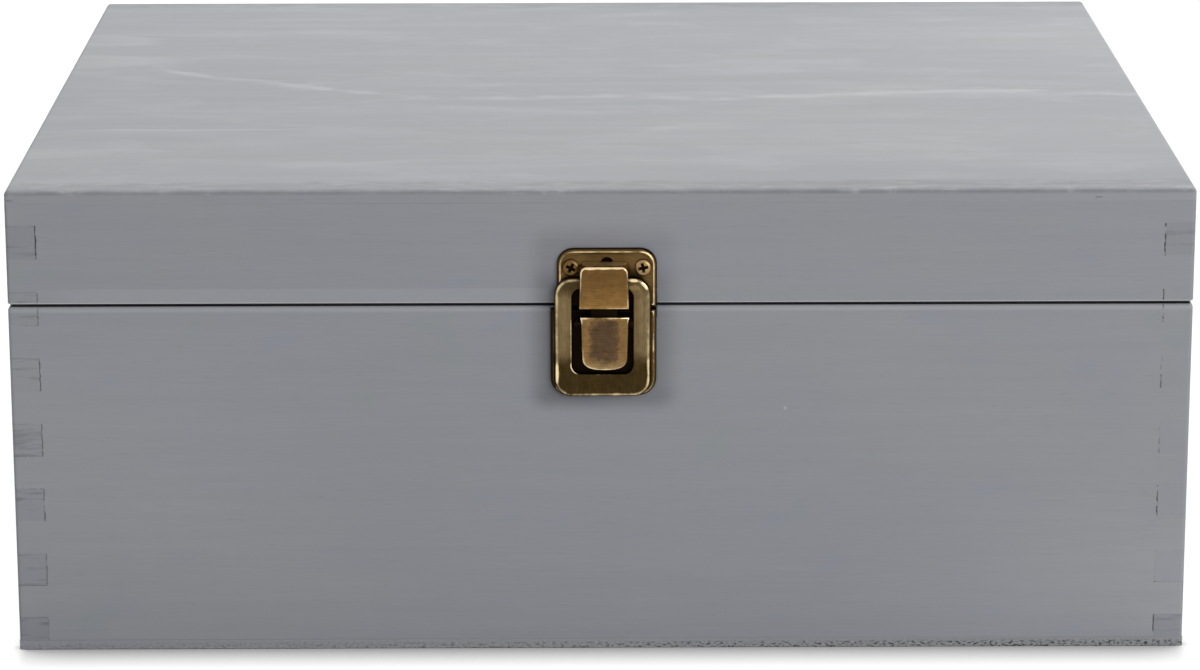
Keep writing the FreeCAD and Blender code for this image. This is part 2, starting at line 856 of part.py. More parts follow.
def latch_spring():
    """A leaf spring that stands on the catch plate and presses the nose outwards."""
    label = "latch_spring"
    body = latch_body(label, bill_middle)
    foot = dim.plate_stand
    tip = dim.nose_inside - dim.running_clearance
    sheet = dim.spring_sheet
    profile = sketch_on(body, label + "_profile", "YZ_Plane", -dim.spring_width / 2)
    outline(profile, [
        (-foot, -dim.spring_foot_drop),
        (-foot, -dim.spring_bend_drop),
        (-tip + sheet, -dim.spring_tip_drop),
        (-tip, -dim.spring_tip_drop),
        (-foot - sheet, -dim.spring_bend_drop),
        (-foot - sheet, -dim.spring_foot_drop),
    ])
    pad(body, label + "_leaf", profile, dim.spring_width)
    return body


nodes.append(strike_plate())
nodes.append(strike_tongue())
nodes.append(catch_plate())
nodes.append(latch_frame())
nodes.append(latch_lever())
nodes.append(latch_spring())
ear_outside = dim.lever_width / 2 + dim.sliding_gap + dim.ear_sheet
latch_pin_length = (ear_outside + dim.latch_pin_end) * 2
nodes.append(pin("latch_pin", dim.latch_pin_radius, latch_pin_length, bill_middle,
                 -half_depth - dim.pivot_out, split_height - dim.pivot_drop))

doc.recompute()


# Tests before anything is written


def check_document():
    for thing in doc.Objects:
        if "Invalid" in thing.State or "Error" in thing.State:
            raise RuntimeError("%s failed: %s" % (thing.Label, thing.State))
        if thing.TypeId == "PartDesign::Pocket":
            before = thing.BaseFeature.Shape.Volume
            if thing.Shape.Volume >= before:
                raise RuntimeError("%s cuts nothing" % thing.Label)
    for node in nodes:
        if node.Shape.isNull() or not node.Shape.isValid():
            raise RuntimeError("%s has no valid shape" % node.Label)


check_document()
os.makedirs("parts", exist_ok=True)
for node in nodes:
    node.Shape.exportStep(os.path.join("parts", node.Label + ".step"))
    print("%-24s %d solids, %.1f mm3" % (node.Label, len(node.Shape.Solids), node.Shape.Volume))
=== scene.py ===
import math

import bmesh
import bpy
from mathutils import Matrix, Vector


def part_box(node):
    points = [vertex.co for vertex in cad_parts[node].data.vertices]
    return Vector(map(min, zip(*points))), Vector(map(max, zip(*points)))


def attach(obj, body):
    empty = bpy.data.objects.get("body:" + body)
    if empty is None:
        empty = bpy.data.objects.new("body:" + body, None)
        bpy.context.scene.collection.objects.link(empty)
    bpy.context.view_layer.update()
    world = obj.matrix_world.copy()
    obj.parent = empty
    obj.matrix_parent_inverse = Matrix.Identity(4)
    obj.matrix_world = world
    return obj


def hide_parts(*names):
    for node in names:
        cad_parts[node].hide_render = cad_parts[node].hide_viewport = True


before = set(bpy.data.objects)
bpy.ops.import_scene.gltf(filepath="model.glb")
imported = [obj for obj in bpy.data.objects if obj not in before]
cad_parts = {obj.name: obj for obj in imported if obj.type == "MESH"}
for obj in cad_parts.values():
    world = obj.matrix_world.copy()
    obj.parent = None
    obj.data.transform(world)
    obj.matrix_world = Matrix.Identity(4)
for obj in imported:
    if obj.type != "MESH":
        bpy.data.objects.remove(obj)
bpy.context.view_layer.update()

# A grey-stained keepsake box with finger joints, two hinges and a sprung brass latch.
# X runs to the right, Y to the back and Z up, in metres; the box stands on z = 0.

scene = bpy.context.scene
scene.view_settings.view_transform = "Standard"

MM = 0.001
HALF_PI = math.pi / 2
FULL_TURN = 2 * math.pi


# Places taken from the frame

walls_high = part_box("base_front_wall")[1]
panel_low, panel_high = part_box("lid_top_panel")
base_rim = walls_high.z
lid_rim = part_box("lid_front_wall")[0].z
lid_line = (base_rim + lid_rim) / 2
half_width = panel_high.x
half_depth = panel_high.y
wall = walls_high.y + half_depth
finger = 10.25 * MM
lever_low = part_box("latch_lever")[0].z

# Millimetres from the left, right, low and high side of a latch node to those of its pressed piece
TONGUE_STEPS = (0.0, 0.0, 0.4, 0.0)
FRAME_STEPS = (-0.9, 0.0, -0.3, 0.0)
STRIKE_STEPS = (0.0, 0.0, -1.0, 0.0)
CATCH_STEPS = (-1.5, -0.6, 0.0, 0.6)


def moved(sides, steps):
    """Sides moved by so many millimetres each."""
    return tuple(side + step * MM for side, step in zip(sides, steps))


def front_sides(node, steps):
    """Left, right, low and high side of a pressed piece, and how far its node stands out to the front."""
    low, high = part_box(node)
    return moved((low.x, high.x, low.z, high.z), steps), -half_depth - low.y


tongue_sides, tongue_out = front_sides("strike_tongue", TONGUE_STEPS)
frame_sides, frame_out = front_sides("latch_frame", FRAME_STEPS)
strike_sides, strike_out = front_sides("strike_plate", STRIKE_STEPS)
catch_sides, ear_out = front_sides("catch_plate", CATCH_STEPS)
tongue_left, tongue_right, tongue_low, tongue_high = tongue_sides
frame_left, frame_right, frame_low, frame_high = frame_sides
strike_left, strike_right, strike_low, strike_high = strike_sides
catch_left, catch_right, catch_low, catch_high = catch_sides
bill_middle = (tongue_left + tongue_right) / 2
latch_middle = (strike_left + strike_right) / 2


# Node trees


class Signal:
    """One value of a node tree. Arithmetic on it adds Math nodes."""

    def __init__(self, finish, socket):
        self.finish = finish
        self.socket = socket

    def math(self, operation, *others):
        sockets = dict(enumerate((self,) + others))
        return self.finish.node("ShaderNodeMath", {"operation": operation}, sockets)

    def reflected(self, operation, other):
        return self.finish.node("ShaderNodeMath", {"operation": operation}, {0: other, 1: self})

    def __add__(self, other):
        return self.math("ADD", other)

    def __sub__(self, other):
        return self.math("SUBTRACT", other)

    def __mul__(self, other):
        return self.math("MULTIPLY", other)

    def __truediv__(self, other):
        return self.math("DIVIDE", other)

    def __mod__(self, other):
        return self.math("FLOORED_MODULO", other)

    def __radd__(self, other):
        return self.reflected("ADD", other)

    def __rsub__(self, other):
        return self.reflected("SUBTRACT", other)

    def __rmul__(self, other):
        return self.reflected("MULTIPLY", other)

    def __abs__(self):
        return self.math("ABSOLUTE")

    def least(self, other):
        return self.math("MINIMUM", other)

    def most(self, other):
        return self.math("MAXIMUM", other)


def stain(red, green, blue):
    """A colour written as it shows on a screen, 0 to 255, as linear light."""
    linear = []
    for level in (red, green, blue):
        share = level / 255
        linear.append(share / 12.92 if share <= 0.04045 else ((share + 0.055) / 1.055) ** 2.4)
    return (*linear, 1.0)


class Finish:
    """A material or world in the making."""

    def __init__(self, holder):
        holder.use_nodes = True
        self.holder = holder
        self.tree = holder.node_tree
        self.tree.nodes.clear()

    def node(self, kind, settings=None, sockets=None, output=0):
        """Add a node, set it up, then fill or link its sockets."""
        made = self.tree.nodes.new(kind)
        for name, value in (settings or {}).items():
            if name == "stops":
                self.set_stops(made.color_ramp, value)
            elif name == "bends":
                self.set_bends(made.mapping, value)
            else:
                setattr(made, name, value)
        for key, value in (sockets or {}).items():
            if isinstance(value, Signal):
                self.tree.links.new(value.socket, made.inputs[key])
            else:
                made.inputs[key].default_value = value
        if made.outputs:
            return Signal(self, made.outputs[output])
        return None

    def set_stops(self, ramp, stops):
        """Give a ramp its colours, each held up to the next stop."""
        while len(ramp.elements) < len(stops):
            ramp.elements.new(1.0)
        ramp.interpolation = "CONSTANT"
        for element, (position, colour) in zip(ramp.elements, stops):
            element.position = position
            element.color = colour

    def set_bends(self, mapping, bends):
        """Lead a curve through its places."""
        curve = mapping.curves[0]
        while len(curve.points) < len(bends):
            curve.points.new(0.5, 0.5)
        for point, place in zip(curve.points, bends):
            point.location = place
        mapping.update()

    def places(self):
        """The place on the piece, and its three parts."""
        place = self.node("ShaderNodeTexCoord", output="Object")
        split = self.node("ShaderNodeSeparateXYZ", sockets={0: place}).socket.node
        return place, [Signal(self, socket) for socket in split.outputs]

    def noise(self, place, stretch, shift=(0.0, 0.0, 0.0), detail=2.0, rough=0.5, twist=0.0):
        """Noise with so many lumps to the metre along each axis."""
        settings = {"operation": "MULTIPLY_ADD"}
        stretched = self.node("ShaderNodeVectorMath", settings, {0: place, 1: stretch, 2: shift})
        sockets = {"Vector": stretched, "Scale": 1.0, "Detail": detail, "Roughness": rough,
                   "Distortion": twist}
        return self.node("ShaderNodeTexNoise", sockets=sockets)

    def fade(self, value, start, end):
        """A smooth step from 0 at the start to 1 at the end."""
        sockets = {"Value": value, "From Min": start, "From Max": end}
        return self.node("ShaderNodeMapRange", {"interpolation_type": "SMOOTHSTEP"}, sockets)

    def band(self, value, low, high, soft):
        """One between two limits and nothing outside them, with soft edges."""
        return self.fade(value, low - soft, low + soft) * self.fade(value, high + soft, high - soft)

    def mix(self, share, first, second):
        settings = {"data_type": "RGBA", "blend_type": "MIX"}
        return self.node("ShaderNodeMix", settings, {0: share, 6: first, 7: second}, output=2)

    def shaded(self, colour, strength):
        """A colour made lighter or darker."""
        tint = colour if isinstance(colour, Signal) else colour[:3]
        return self.node("ShaderNodeVectorMath", {"operation": "SCALE"}, {0: tint, "Scale": strength})

    def bump(self, height, strength, depth):
        sockets = {"Height": height, "Strength": strength, "Distance": depth}
        return self.node("ShaderNodeBump", sockets=sockets)

    def surface(self, **sockets):
        """Close the material with its shader."""
        named = {name.replace("_", " "): value for name, value in sockets.items()}
        shader = self.node("ShaderNodeBsdfPrincipled", sockets=named)
        self.node("ShaderNodeOutputMaterial", sockets={"Surface": shader})
        return self.holder


def new_finish(name):
    return Finish(bpy.data.materials.new(name))


# Stain and grain shared by boards and panels

GREY_COOL = stain(142, 143, 149)
GREY_WARM = stain(146, 147, 150)
GREY_BLUE = stain(134, 141, 154)
GREY_GREEN = stain(135, 143, 143)
GREY_PALE = stain(186, 187, 190)
GREY_DARK = stain(88, 91, 95)
END_DARK = stain(76, 90, 105)
# Dark for seams and painted shade behind the latch, and painted shade in the lid line's gap
SEAM_AND_SHADE_DARK = stain(34, 35, 37)
GAP_SHADE_DARK = stain(14, 14, 15)

ALONG_X = 0
ALONG_Y = 1
PLAIN = 1.0
FIGURED = 1.4
BOARD_SEED = 1.3
LID_SEED = 2.1
BASE_SEED = 6.4
WOOD_RELIEF = 0.2 * MM

# Lumps to the metre along and across the grain
FIBRES = (60.0, 2100.0)
STREAKS = (10.0, 240.0)
CLOUDS = (6.0, 13.0)
BLUE_PATCHES = (45.0, 75.0)
GREEN_PATCHES = (38.0, 64.0)
PORES = (150.0, 1500.0)
SWEEPS = (7.0, 95.0)
SWIRLS = (11.0, 34.0)
PUFFS = (24.0, 48.0)


def along_grain(axis, lumps):
    """Lumps to the metre on each axis, for grain that runs along one of them."""
    along, across = lumps
    return tuple(along if index == axis else across for index in range(3))


def stained_colour(finish, place, axis, seed, figure):
    """Colour, fibres and streaks of stain on wood whose grain runs along one axis, plain or figured."""
    shift = (seed, seed * 2.7, seed * 5.1)
    fibres = finish.noise(place, along_grain(axis, FIBRES), shift, detail=3.0, rough=0.6)
    streaks = finish.noise(place, along_grain(axis, STREAKS), shift, detail=3.0, rough=0.55)
    clouds = finish.noise(place, along_grain(axis, CLOUDS), shift)
    colour = finish.mix(finish.fade(clouds, 0.35, 0.65), GREY_WARM, GREY_COOL)
    bluish = finish.noise(place, along_grain(axis, BLUE_PATCHES), (seed + 3.0, 8.0, 1.0), detail=3.0)
    colour = finish.mix(finish.fade(bluish, 0.54, 0.78) * 0.34, colour, GREY_BLUE)
    greenish = finish.noise(place, along_grain(axis, GREEN_PATCHES), (seed + 9.0, 2.0, 7.0), detail=3.0)
    colour = finish.mix(finish.fade(greenish, 0.56, 0.76) * 0.4, colour, GREY_GREEN)
    pores = finish.fade(finish.noise(place, along_grain(axis, PORES), shift), 0.60, 0.74)
    grain = (fibres - 0.5) * 0.12 + (streaks - 0.5) * 0.10 + (clouds - 0.5) * 0.08 - pores * 0.05
    return finish.shaded(colour, 1.0 + grain * figure), fibres, streaks


# Wall boards

# How dark the end grain of each finger is, from the lowest up, and how open its joint
LEFT_ENDS = (0.18, 0.07, 0.11, 0.07, 0.05, 0.09, 0.14)
RIGHT_ENDS = (0.22, 0.0, 0.01, 0.0, 0.03, 0.02, 0.16)
LEFT_LINES = (0.3, 0.5, 0.6, 0.6, 0.75, 0.6, 1.0)
RIGHT_LINES = (1.0, 0.1, 1.0, 0.7, 0.7, 0.9, 1.0)

LAYERS = (70.0, 70.0, 620.0)
LINE_LUMPS = (900.0, 900.0, 420.0)
LINE_PATCHES = (60.0, 60.0, 75.0)
END_LINE = 0.32 * MM
SIDE_LINE = 0.30 * MM
LINE_CORE = 0.08 * MM
LINE_WANDER = 0.9 * MM
LINE_MOST = 0.95

HALO_REACH = 9 * MM
HALO_CORE = 0.5 * MM
HALO_SIDE = 8 * MM
HALO_FOOT = 4 * MM
HALO_HIGH = (6 * MM, 13 * MM)

LID_EDGE_HIGHLIGHT = (0.1 * MM, 0.5 * MM, 0.1 * MM)
BASE_EDGE_HIGHLIGHT = (0.0, 1.8 * MM, 0.4 * MM)
RUBBED_STRIP = (0.2 * MM, 4.7 * MM, 0.15 * MM)
RUBBED_LEFT = (-175 * MM, -150 * MM)
RUBBED_RIGHT = (-13 * MM, -17 * MM)
PANEL_SEAM = (0.35 * MM, 0.1 * MM)
OUTER_SKIN = (2.5 * MM, 1.5 * MM)
CUT_BELOW = 0.14 * MM
CUT_ABOVE = 0.10 * MM
CUT_SOFT = 0.06 * MM

LATCH_SHADE_HALF = (15.4 * MM, 14.8 * MM)
LATCH_SHADE_HEIGHT = (-4 * MM, 3 * MM, 0.5 * MM)
SPECK_ACROSS = 55.6 * MM
SPECK_UP = 76.1 * MM
SPECK_SIZE = (0.8 * MM, 0.3 * MM)
PALER_LEFT = (-60 * MM, -140 * MM)
PALER_HEIGHT = (5 * MM, 75 * MM, 20 * MM)
PALER_RIGHT = (60 * MM, 140 * MM)
PALER_FOOT = (60 * MM, 15 * MM)


def at_left(finish, x):
    """One on the left half of the box and nothing on the right."""
    return finish.fade(x, 0.0, -10 * MM)


def by_finger(finish, x, z, left_values, right_values):
    """A value for each finger of the corner joints, from the lowest up, at the left and at the right."""
    left = at_left(finish, x)
    values = []
    for shares in (left_values, right_values):
        stops = [(index / len(shares), (share, share, share, 1.0)) for index, share in enumerate(shares)]
        reach = z / (2 * len(shares) * finger)
        values.append(finish.node("ShaderNodeValToRGB", {"stops": stops}, {"Fac": reach}))
    return values[0] * left + values[1] * (1.0 - left)


def end_grain(finish, place, places, end_face, colour):
    """Layers of growth on the end faces, darker on some fingers than on others."""
    x, z = places[0::2]
    left = at_left(finish, x)
    tone = by_finger(finish, x, z, LEFT_ENDS, RIGHT_ENDS)
    layers = finish.noise(place, LAYERS, (4.0, 1.0, 2.0), detail=3.0, rough=0.6)
    layer_lines = finish.fade(layers, 0.50, 0.66)
    colour = finish.mix(end_face * (0.2 + left * 0.2), colour, GREY_COOL)
    colour = finish.mix(end_face * tone, colour, END_DARK)
    return finish.mix(end_face * layer_lines * (left * 0.30 + tone * 1.6), colour, GREY_DARK)


def joint_lines(finish, place, places, from_middle):
    """Dark lines where the fingers of the corner joints meet, more of them at the left of the box."""
    x, z = places[0::2]
    ragged = finish.noise(place, LINE_LUMPS, (2.0, 6.0, 1.0), rough=0.7)
    patchy = finish.noise(place, LINE_PATCHES, (8.0, 3.0, 5.0), detail=1.0)
    left = at_left(finish, x)
    row = (z / finger) % 2.0
    side_row = finish.fade(row, 1.01, 0.99)
    beside = abs((z / finger + 0.5) % 1.0 - 0.5) * finger
    broken = finish.fade(ragged + left * 0.09, 0.43, 0.58)
    strong = finish.fade(patchy, 0.40, 0.62)
    open_joint = by_finger(finish, x, z, LEFT_LINES, RIGHT_LINES)
    lines = 0.0
    for across, other, edge, limit, here in (
            (from_middle[0], from_middle[1], half_width - wall, half_depth, side_row),
            (from_middle[1], from_middle[0], half_depth - wall, half_width, 1.0 - side_row)):
        on_face = finish.fade(other, limit - 0.8 * MM, limit - 0.4 * MM)
        end_line = finish.fade(abs(across - edge + (ragged - 0.5) * LINE_WANDER), END_LINE, LINE_CORE)
        side_line = finish.fade(beside, SIDE_LINE, LINE_CORE) * finish.fade(across, edge, edge + 0.2 * MM)
        end_line = end_line * here * broken * open_joint
        side_line = side_line * broken * strong * (0.08 + left * 0.24)
        lines = on_face * end_line.most(side_line) + lines
    return lines.least(LINE_MOST)


def sawn_rims(finish, x, z, from_middle, streaks, colour):
    """The rims that the saw left: eased with a painted highlight on them, rubbed, and painted shade in the
    cut; and the seam under the lid's panel.
    """
    above = z - lid_rim
    below = base_rim - z
    # Painted highlight on the eased rims above and below the lid line.
    eased = finish.band(above, *LID_EDGE_HIGHLIGHT) + finish.band(below, *BASE_EDGE_HIGHLIGHT) * 0.28
    colour = finish.mix(eased * 0.8, colour, GREY_PALE)
    rubbed = finish.band(above, *RUBBED_STRIP) * finish.fade(x, *RUBBED_RIGHT)
    rubbed = rubbed * finish.fade(x, *RUBBED_LEFT)
    colour = finish.mix(rubbed * 0.12, colour, GREY_PALE)
    under_panel = finish.fade(abs(z - panel_low.z), *PANEL_SEAM) * finish.fade(streaks, 0.44, 0.60)
    colour = finish.mix(under_panel * 0.3, colour, GREY_DARK)
    skins = []
    for across, reach in zip(from_middle, (half_width, half_depth)):
        skins.append(finish.fade(across, reach - OUTER_SKIN[0], reach - OUTER_SKIN[1]))
    # Painted shade in the lid line's gap, near the outer faces.
    cut = finish.band(z, base_rim - CUT_BELOW, lid_rim + CUT_ABOVE, CUT_SOFT) * skins[0].most(skins[1])
    return finish.mix(cut, colour, GAP_SHADE_DARK)


def latch_shade(finish, x, z):
    """The painted shadow round the latch: how much it darkens the wood, most at its left and below it."""
    middle = (catch_left + catch_right) / 2
    beside = (abs(x - middle) - (middle - catch_left)).most(0.0)
    below = (catch_low - z).most(0.0) * 1.4
    above = (z - strike_high).most(0.0)
    away = (beside * beside + below * below + above * above).math("SQRT")
    left = finish.fade(x, middle + HALO_SIDE, middle - HALO_SIDE)
    low = finish.fade(z, catch_low + HALO_FOOT, catch_low)
    high = finish.fade(z - lid_line, *HALO_HIGH)
    depth = 0.30 + left * 0.10 + low * 0.06
    return finish.fade(away, HALO_REACH, HALO_CORE) * depth * (1.0 - high * 0.5)


def front_marks(finish, places, colour):
    """Marks on the front: painted shade behind the latch, a pale speck, paler tones at the far left and the
    low right, and the painted shadow round the latch.
    """
    x, y, z = places
    to_front = finish.fade(y, 4 * MM - half_depth, 3 * MM - half_depth)
    # Painted shade on the wood behind the latch, where the frame's shadow falls.
    shade_behind_latch = finish.fade(abs(x - latch_middle), *LATCH_SHADE_HALF) * to_front
    shade_behind_latch = shade_behind_latch * finish.band(z - lid_line, *LATCH_SHADE_HEIGHT)
    colour = finish.mix(shade_behind_latch * 0.9, colour, SEAM_AND_SHADE_DARK)
    speck = finish.fade(abs(x - SPECK_ACROSS) + abs(z - SPECK_UP), *SPECK_SIZE) * to_front
    colour = finish.mix(speck * 0.6, colour, GREY_PALE)
    # Paler towards the far left and the low right, darker with the painted shadow round the latch.
    far_left = finish.fade(x, *PALER_LEFT) * finish.band(base_rim - z, *PALER_HEIGHT)
    low_right = finish.fade(x, *PALER_RIGHT) * finish.fade(z, *PALER_FOOT)
    tone = far_left * 0.05 + low_right * 0.09 - latch_shade(finish, x, z)
    return finish.shaded(colour, 1.0 + tone * to_front)


def stained_board(name, axis):
    """Stain on a wall board whose grain runs along one axis, with its end grain, joints, rims and marks."""
    finish = new_finish(name)
    place, places = finish.places()
    x, y, z = places
    colour, fibres, streaks = stained_colour(finish, place, axis, BOARD_SEED, PLAIN)
    from_middle = (abs(x), abs(y))
    reach = (half_width, half_depth)[axis]
    end_face = finish.fade(from_middle[axis], reach - 0.7 * MM, reach - 0.3 * MM)
    colour = end_grain(finish, place, places, end_face, colour)
    lines = joint_lines(finish, place, places, from_middle)
    colour = finish.mix(lines, colour, SEAM_AND_SHADE_DARK)
    colour = sawn_rims(finish, x, z, from_middle, streaks, colour)
    colour = front_marks(finish, places, colour)
    height = fibres * 0.5 + streaks * 0.5 - lines * 1.5
    return finish.surface(Base_Color=colour, Roughness=0.56 + fibres * 0.12,
                          Normal=finish.bump(height, 0.25, WOOD_RELIEF))


# Top and bottom panel

# The vein's way over the lid, as shares of its width and depth
VEIN_PATH = [(0.0, 0.72), (0.055, 0.66), (0.1, 0.585), (0.2, 0.52), (0.27, 0.473), (0.37, 0.438),
             (0.5, 0.446), (0.61, 0.434), (0.78, 0.464), (0.89, 0.468), (1.0, 0.446)]
VEIN_WANDER = 6 * MM
VEIN_WIDTH = (5.0 * MM, 0.3 * MM)
FEATHER_WIDTH = (18 * MM, 2 * MM)
VEIN_START = (-156 * MM, -138 * MM)
LOBES = [(-150 * MM, 80 * MM), (-145 * MM, 44 * MM)]
LOBE_HALF = 13 * MM
STREAK_IN_FRONT = 67 * MM
STREAK_WANDER = 3 * MM
STREAK_WIDTH = (1.6 * MM, 0.2 * MM)
STREAK_LEFT = (-172 * MM, -150 * MM)
STREAK_RIGHT = (-76 * MM, -120 * MM)

FRAY = 6 * MM
FRAYED_AND_SHADED_EDGE = (13 * MM, 8 * MM)
END_SHADE_REACH = (70 * MM, 10 * MM)
END_SHADE_RIGHT = (-60 * MM, 120 * MM)
PAINTED_LIGHT_BACK = (-40 * MM, 130 * MM)
PAINTED_LIGHT_RIGHT = (40 * MM, 170 * MM)
CHIPPED_SIDE = (150 * MM, 174 * MM)
SHADE_UNDER_EDGE = (0.2 * MM, 1.5 * MM, 0.4 * MM)
EDGE_FACE = (0.5 * MM, 0.1 * MM)
DASHES = [(-176.5 * MM, 3.1 * MM), (148.7 * MM, 2.8 * MM)]
DASH_HALF = (1.4 * MM, 0.7 * MM)
DASH_THICK = (0.4 * MM, 0.15 * MM)

FLECKS = (800.0, 800.0, 1500.0)
FLECK_RAGGED = 3 * MM
FLECK_TOP = (2.8 * MM, 1.7 * MM)
ROUGHER_RIGHT = (-150 * MM, 150 * MM)
SAWN_RELIEF = 0.25 * MM


def stained_panel(finish, place, places, seed):
    """Streaky stain on a thin panel, paler on its broad faces, and how near a place is to the edge faces."""
    x, y = places[:2]
    colour, fibres, streaks = stained_colour(finish, place, ALONG_X, seed, FIGURED)
    sweeps = finish.noise(place, along_grain(ALONG_X, SWEEPS), (seed, 3.0, 5.0), detail=4.0, rough=0.6,
                          twist=0.3)
    swirl = finish.noise(place, along_grain(ALONG_X, SWIRLS), (7.0, seed, 2.0), detail=4.0, rough=0.55,
                         twist=0.8)
    puffs = finish.noise(place, along_grain(ALONG_X, PUFFS), (2.0, seed, 6.0), detail=4.0, rough=0.6,
                         twist=0.6)
    from_edge = (half_depth - abs(y)).least(half_width - abs(x))
    pale = 0.27 + finish.fade(sweeps, 0.48, 0.72) * 0.14 + finish.fade(swirl, 0.50, 0.74) * 0.14
    pale = pale + finish.fade(puffs, 0.48, 0.70) * 0.16
    colour = finish.mix(pale * finish.fade(from_edge, 0.15 * MM, 0.5 * MM), colour, GREY_PALE)
    colour = finish.mix(finish.fade(sweeps, 0.46, 0.28) * 0.08, colour, GREY_DARK)
    return colour, fibres * 0.5 + streaks * 0.4, sweeps, from_edge


def veined(finish, place, places, sweeps, shown, colour):
    """A pale feathery vein that wanders along the lid, with two pale lobes and a streak at the left."""
    x, y = places[:2]
    reach = (x + half_width) / (2 * half_width)
    path = finish.node("ShaderNodeFloatCurve", {"bends": VEIN_PATH}, {"Value": reach})
    wander = finish.noise(place, (90.0, 5.0, 5.0), (3.0, 3.0, 3.0), detail=3.0) - 0.5
    near = abs(y - (path - 0.5) * (2 * half_depth) - wander * VEIN_WANDER)
    patchy = finish.noise(place, (55.0, 110.0, 5.0), (6.0, 2.0, 9.0), detail=3.0)
    feathers = finish.noise(place, (26.0, 420.0, 5.0), (2.0, 8.0, 4.0), detail=3.0, rough=0.6, twist=0.4)
    vein = finish.fade(near, *VEIN_WIDTH) * finish.fade(patchy, 0.30, 0.58)
    beside = finish.fade(near, *FEATHER_WIDTH) * finish.fade(patchy, 0.40, 0.62)
    pale = vein * 0.6 + beside * finish.fade(feathers, 0.50, 0.66) * 0.4
    pale = pale * finish.fade(x, *VEIN_START)
    colour = finish.mix(pale * shown, colour, GREY_PALE)
    for tip, middle in LOBES:
        along = (x + half_width) / (tip + half_width) + (feathers - 0.5) * 0.9
        across = (y - middle) / LOBE_HALF
        lobe = finish.fade(along * along + across * across, 1.1, 0.5) * (0.35 + along * 0.65)
        colour = finish.mix(lobe * finish.fade(sweeps, 0.25, 0.55) * shown * 0.5, colour, GREY_PALE)
    streak = finish.fade(abs(y + STREAK_IN_FRONT - wander * STREAK_WANDER), *STREAK_WIDTH)
    streak = streak * finish.fade(x, *STREAK_LEFT) * finish.fade(x, *STREAK_RIGHT)
    return finish.mix(streak * shown * 0.55, colour, GREY_PALE)


def lid_panel(name):
    """The lid's panel, veined, with frayed front and back edges; painted shade on and towards those edges and
    just under all its edges, and painted light towards the back and the right.
    """
    finish = new_finish(name)
    place, places = finish.places()
    x, y, z = places
    colour, height, sweeps, from_edge = stained_panel(finish, place, places, LID_SEED)
    shown = finish.fade(z, panel_high.z - 2.0 * MM, panel_high.z - 1.0 * MM)
    colour = veined(finish, place, places, sweeps, shown, colour)

    frayed = finish.noise(place, (110.0, 420.0, 5.0), (5.0, 1.0, 7.0), detail=3.0, rough=0.65)
    from_end = half_depth - abs(y)
    # Painted shade on frayed strips along the front and back edges.
    eased = finish.fade(from_end + (frayed - 0.5) * FRAY, *FRAYED_AND_SHADED_EDGE) * shown
    # Painted shade towards the front and back ends, more at the right, and painted light towards the back and
    # the right.
    dull = finish.fade(from_end, *END_SHADE_REACH) * finish.fade(x, *END_SHADE_RIGHT) * shown
    right = finish.fade(x, *PAINTED_LIGHT_RIGHT)
    to_back = finish.fade(y, *PAINTED_LIGHT_BACK) * (0.06 + right * 0.08)
    painted_light = to_back * shown + right * 0.03
    colour = finish.shaded(colour, 1.0 + painted_light - dull * 0.10 - eased * (0.12 + (0.5 - frayed) * 0.5))
    # Pale flecks of frayed fibres in those strips, partly painted highlight.
    chipped = 0.3 + finish.fade(x, *CHIPPED_SIDE) * 0.3
    colour = finish.mix(eased * finish.fade(frayed, 0.56, 0.72) * chipped, colour, GREY_PALE)

    drop = panel_high.z - z
    # Painted shade on the edge faces just under the top.
    shade_under_edge = finish.band(drop, *SHADE_UNDER_EDGE) * finish.fade(from_edge, *EDGE_FACE)
    colour = finish.mix(shade_under_edge * 0.08, colour, GREY_DARK)
    on_front = finish.fade(y, EDGE_FACE[0] - half_depth, EDGE_FACE[1] - half_depth)
    for across, down in DASHES:
        dash = finish.fade(abs(x - across), *DASH_HALF) * finish.fade(abs(drop - down), *DASH_THICK)
        colour = finish.mix(dash * on_front * 0.5, colour, GREY_DARK)
    return finish.surface(Base_Color=colour, Roughness=0.52 + sweeps * 0.12,
                          Normal=finish.bump(height + frayed * eased, 0.25, WOOD_RELIEF))


def base_panel(name):
    """The bottom panel, with its sawn edge left rough."""
    finish = new_finish(name)
    place, places = finish.places()
    x, z = places[0::2]
    colour, height, sweeps, from_edge = stained_panel(finish, place, places, BASE_SEED)
    flecks = finish.noise(place, FLECKS, (1.0, 4.0, 8.0), rough=0.7)
    at_edge = finish.fade(from_edge, 1.5 * MM, 0.5 * MM)
    at_edge = at_edge * finish.fade(z + (flecks - 0.5) * FLECK_RAGGED, *FLECK_TOP)
    rough_side = finish.fade(x, *ROUGHER_RIGHT)
    torn = finish.fade(flecks, 0.48, 0.66) * (0.3 + rough_side * 0.9)
    colour = finish.mix(at_edge * torn, colour, SEAM_AND_SHADE_DARK)
    bare = finish.fade(flecks, 0.42, 0.26) * (0.4 - rough_side * 0.2)
    colour = finish.mix(at_edge * bare, colour, GREY_PALE)
    return finish.surface(Base_Color=colour, Roughness=0.62 + sweeps * 0.12,
                          Normal=finish.bump(height + flecks * at_edge, 0.35, SAWN_RELIEF))


front_wood = stained_board("stained_wood_front_and_back", ALONG_X)
side_wood = stained_board("stained_wood_sides", ALONG_Y)
for part in ("base", "lid"):
    for side in ("front", "back"):
        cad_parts["%s_%s_wall" % (part, side)].data.materials[0] = front_wood
    for side in ("left", "right"):
        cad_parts["%s_%s_wall" % (part, side)].data.materials[0] = side_wood
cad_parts["lid_top_panel"].data.materials[0] = lid_panel("stained_panel_lid")
bottom_wood = base_panel("stained_panel_base")


# Brass finishes

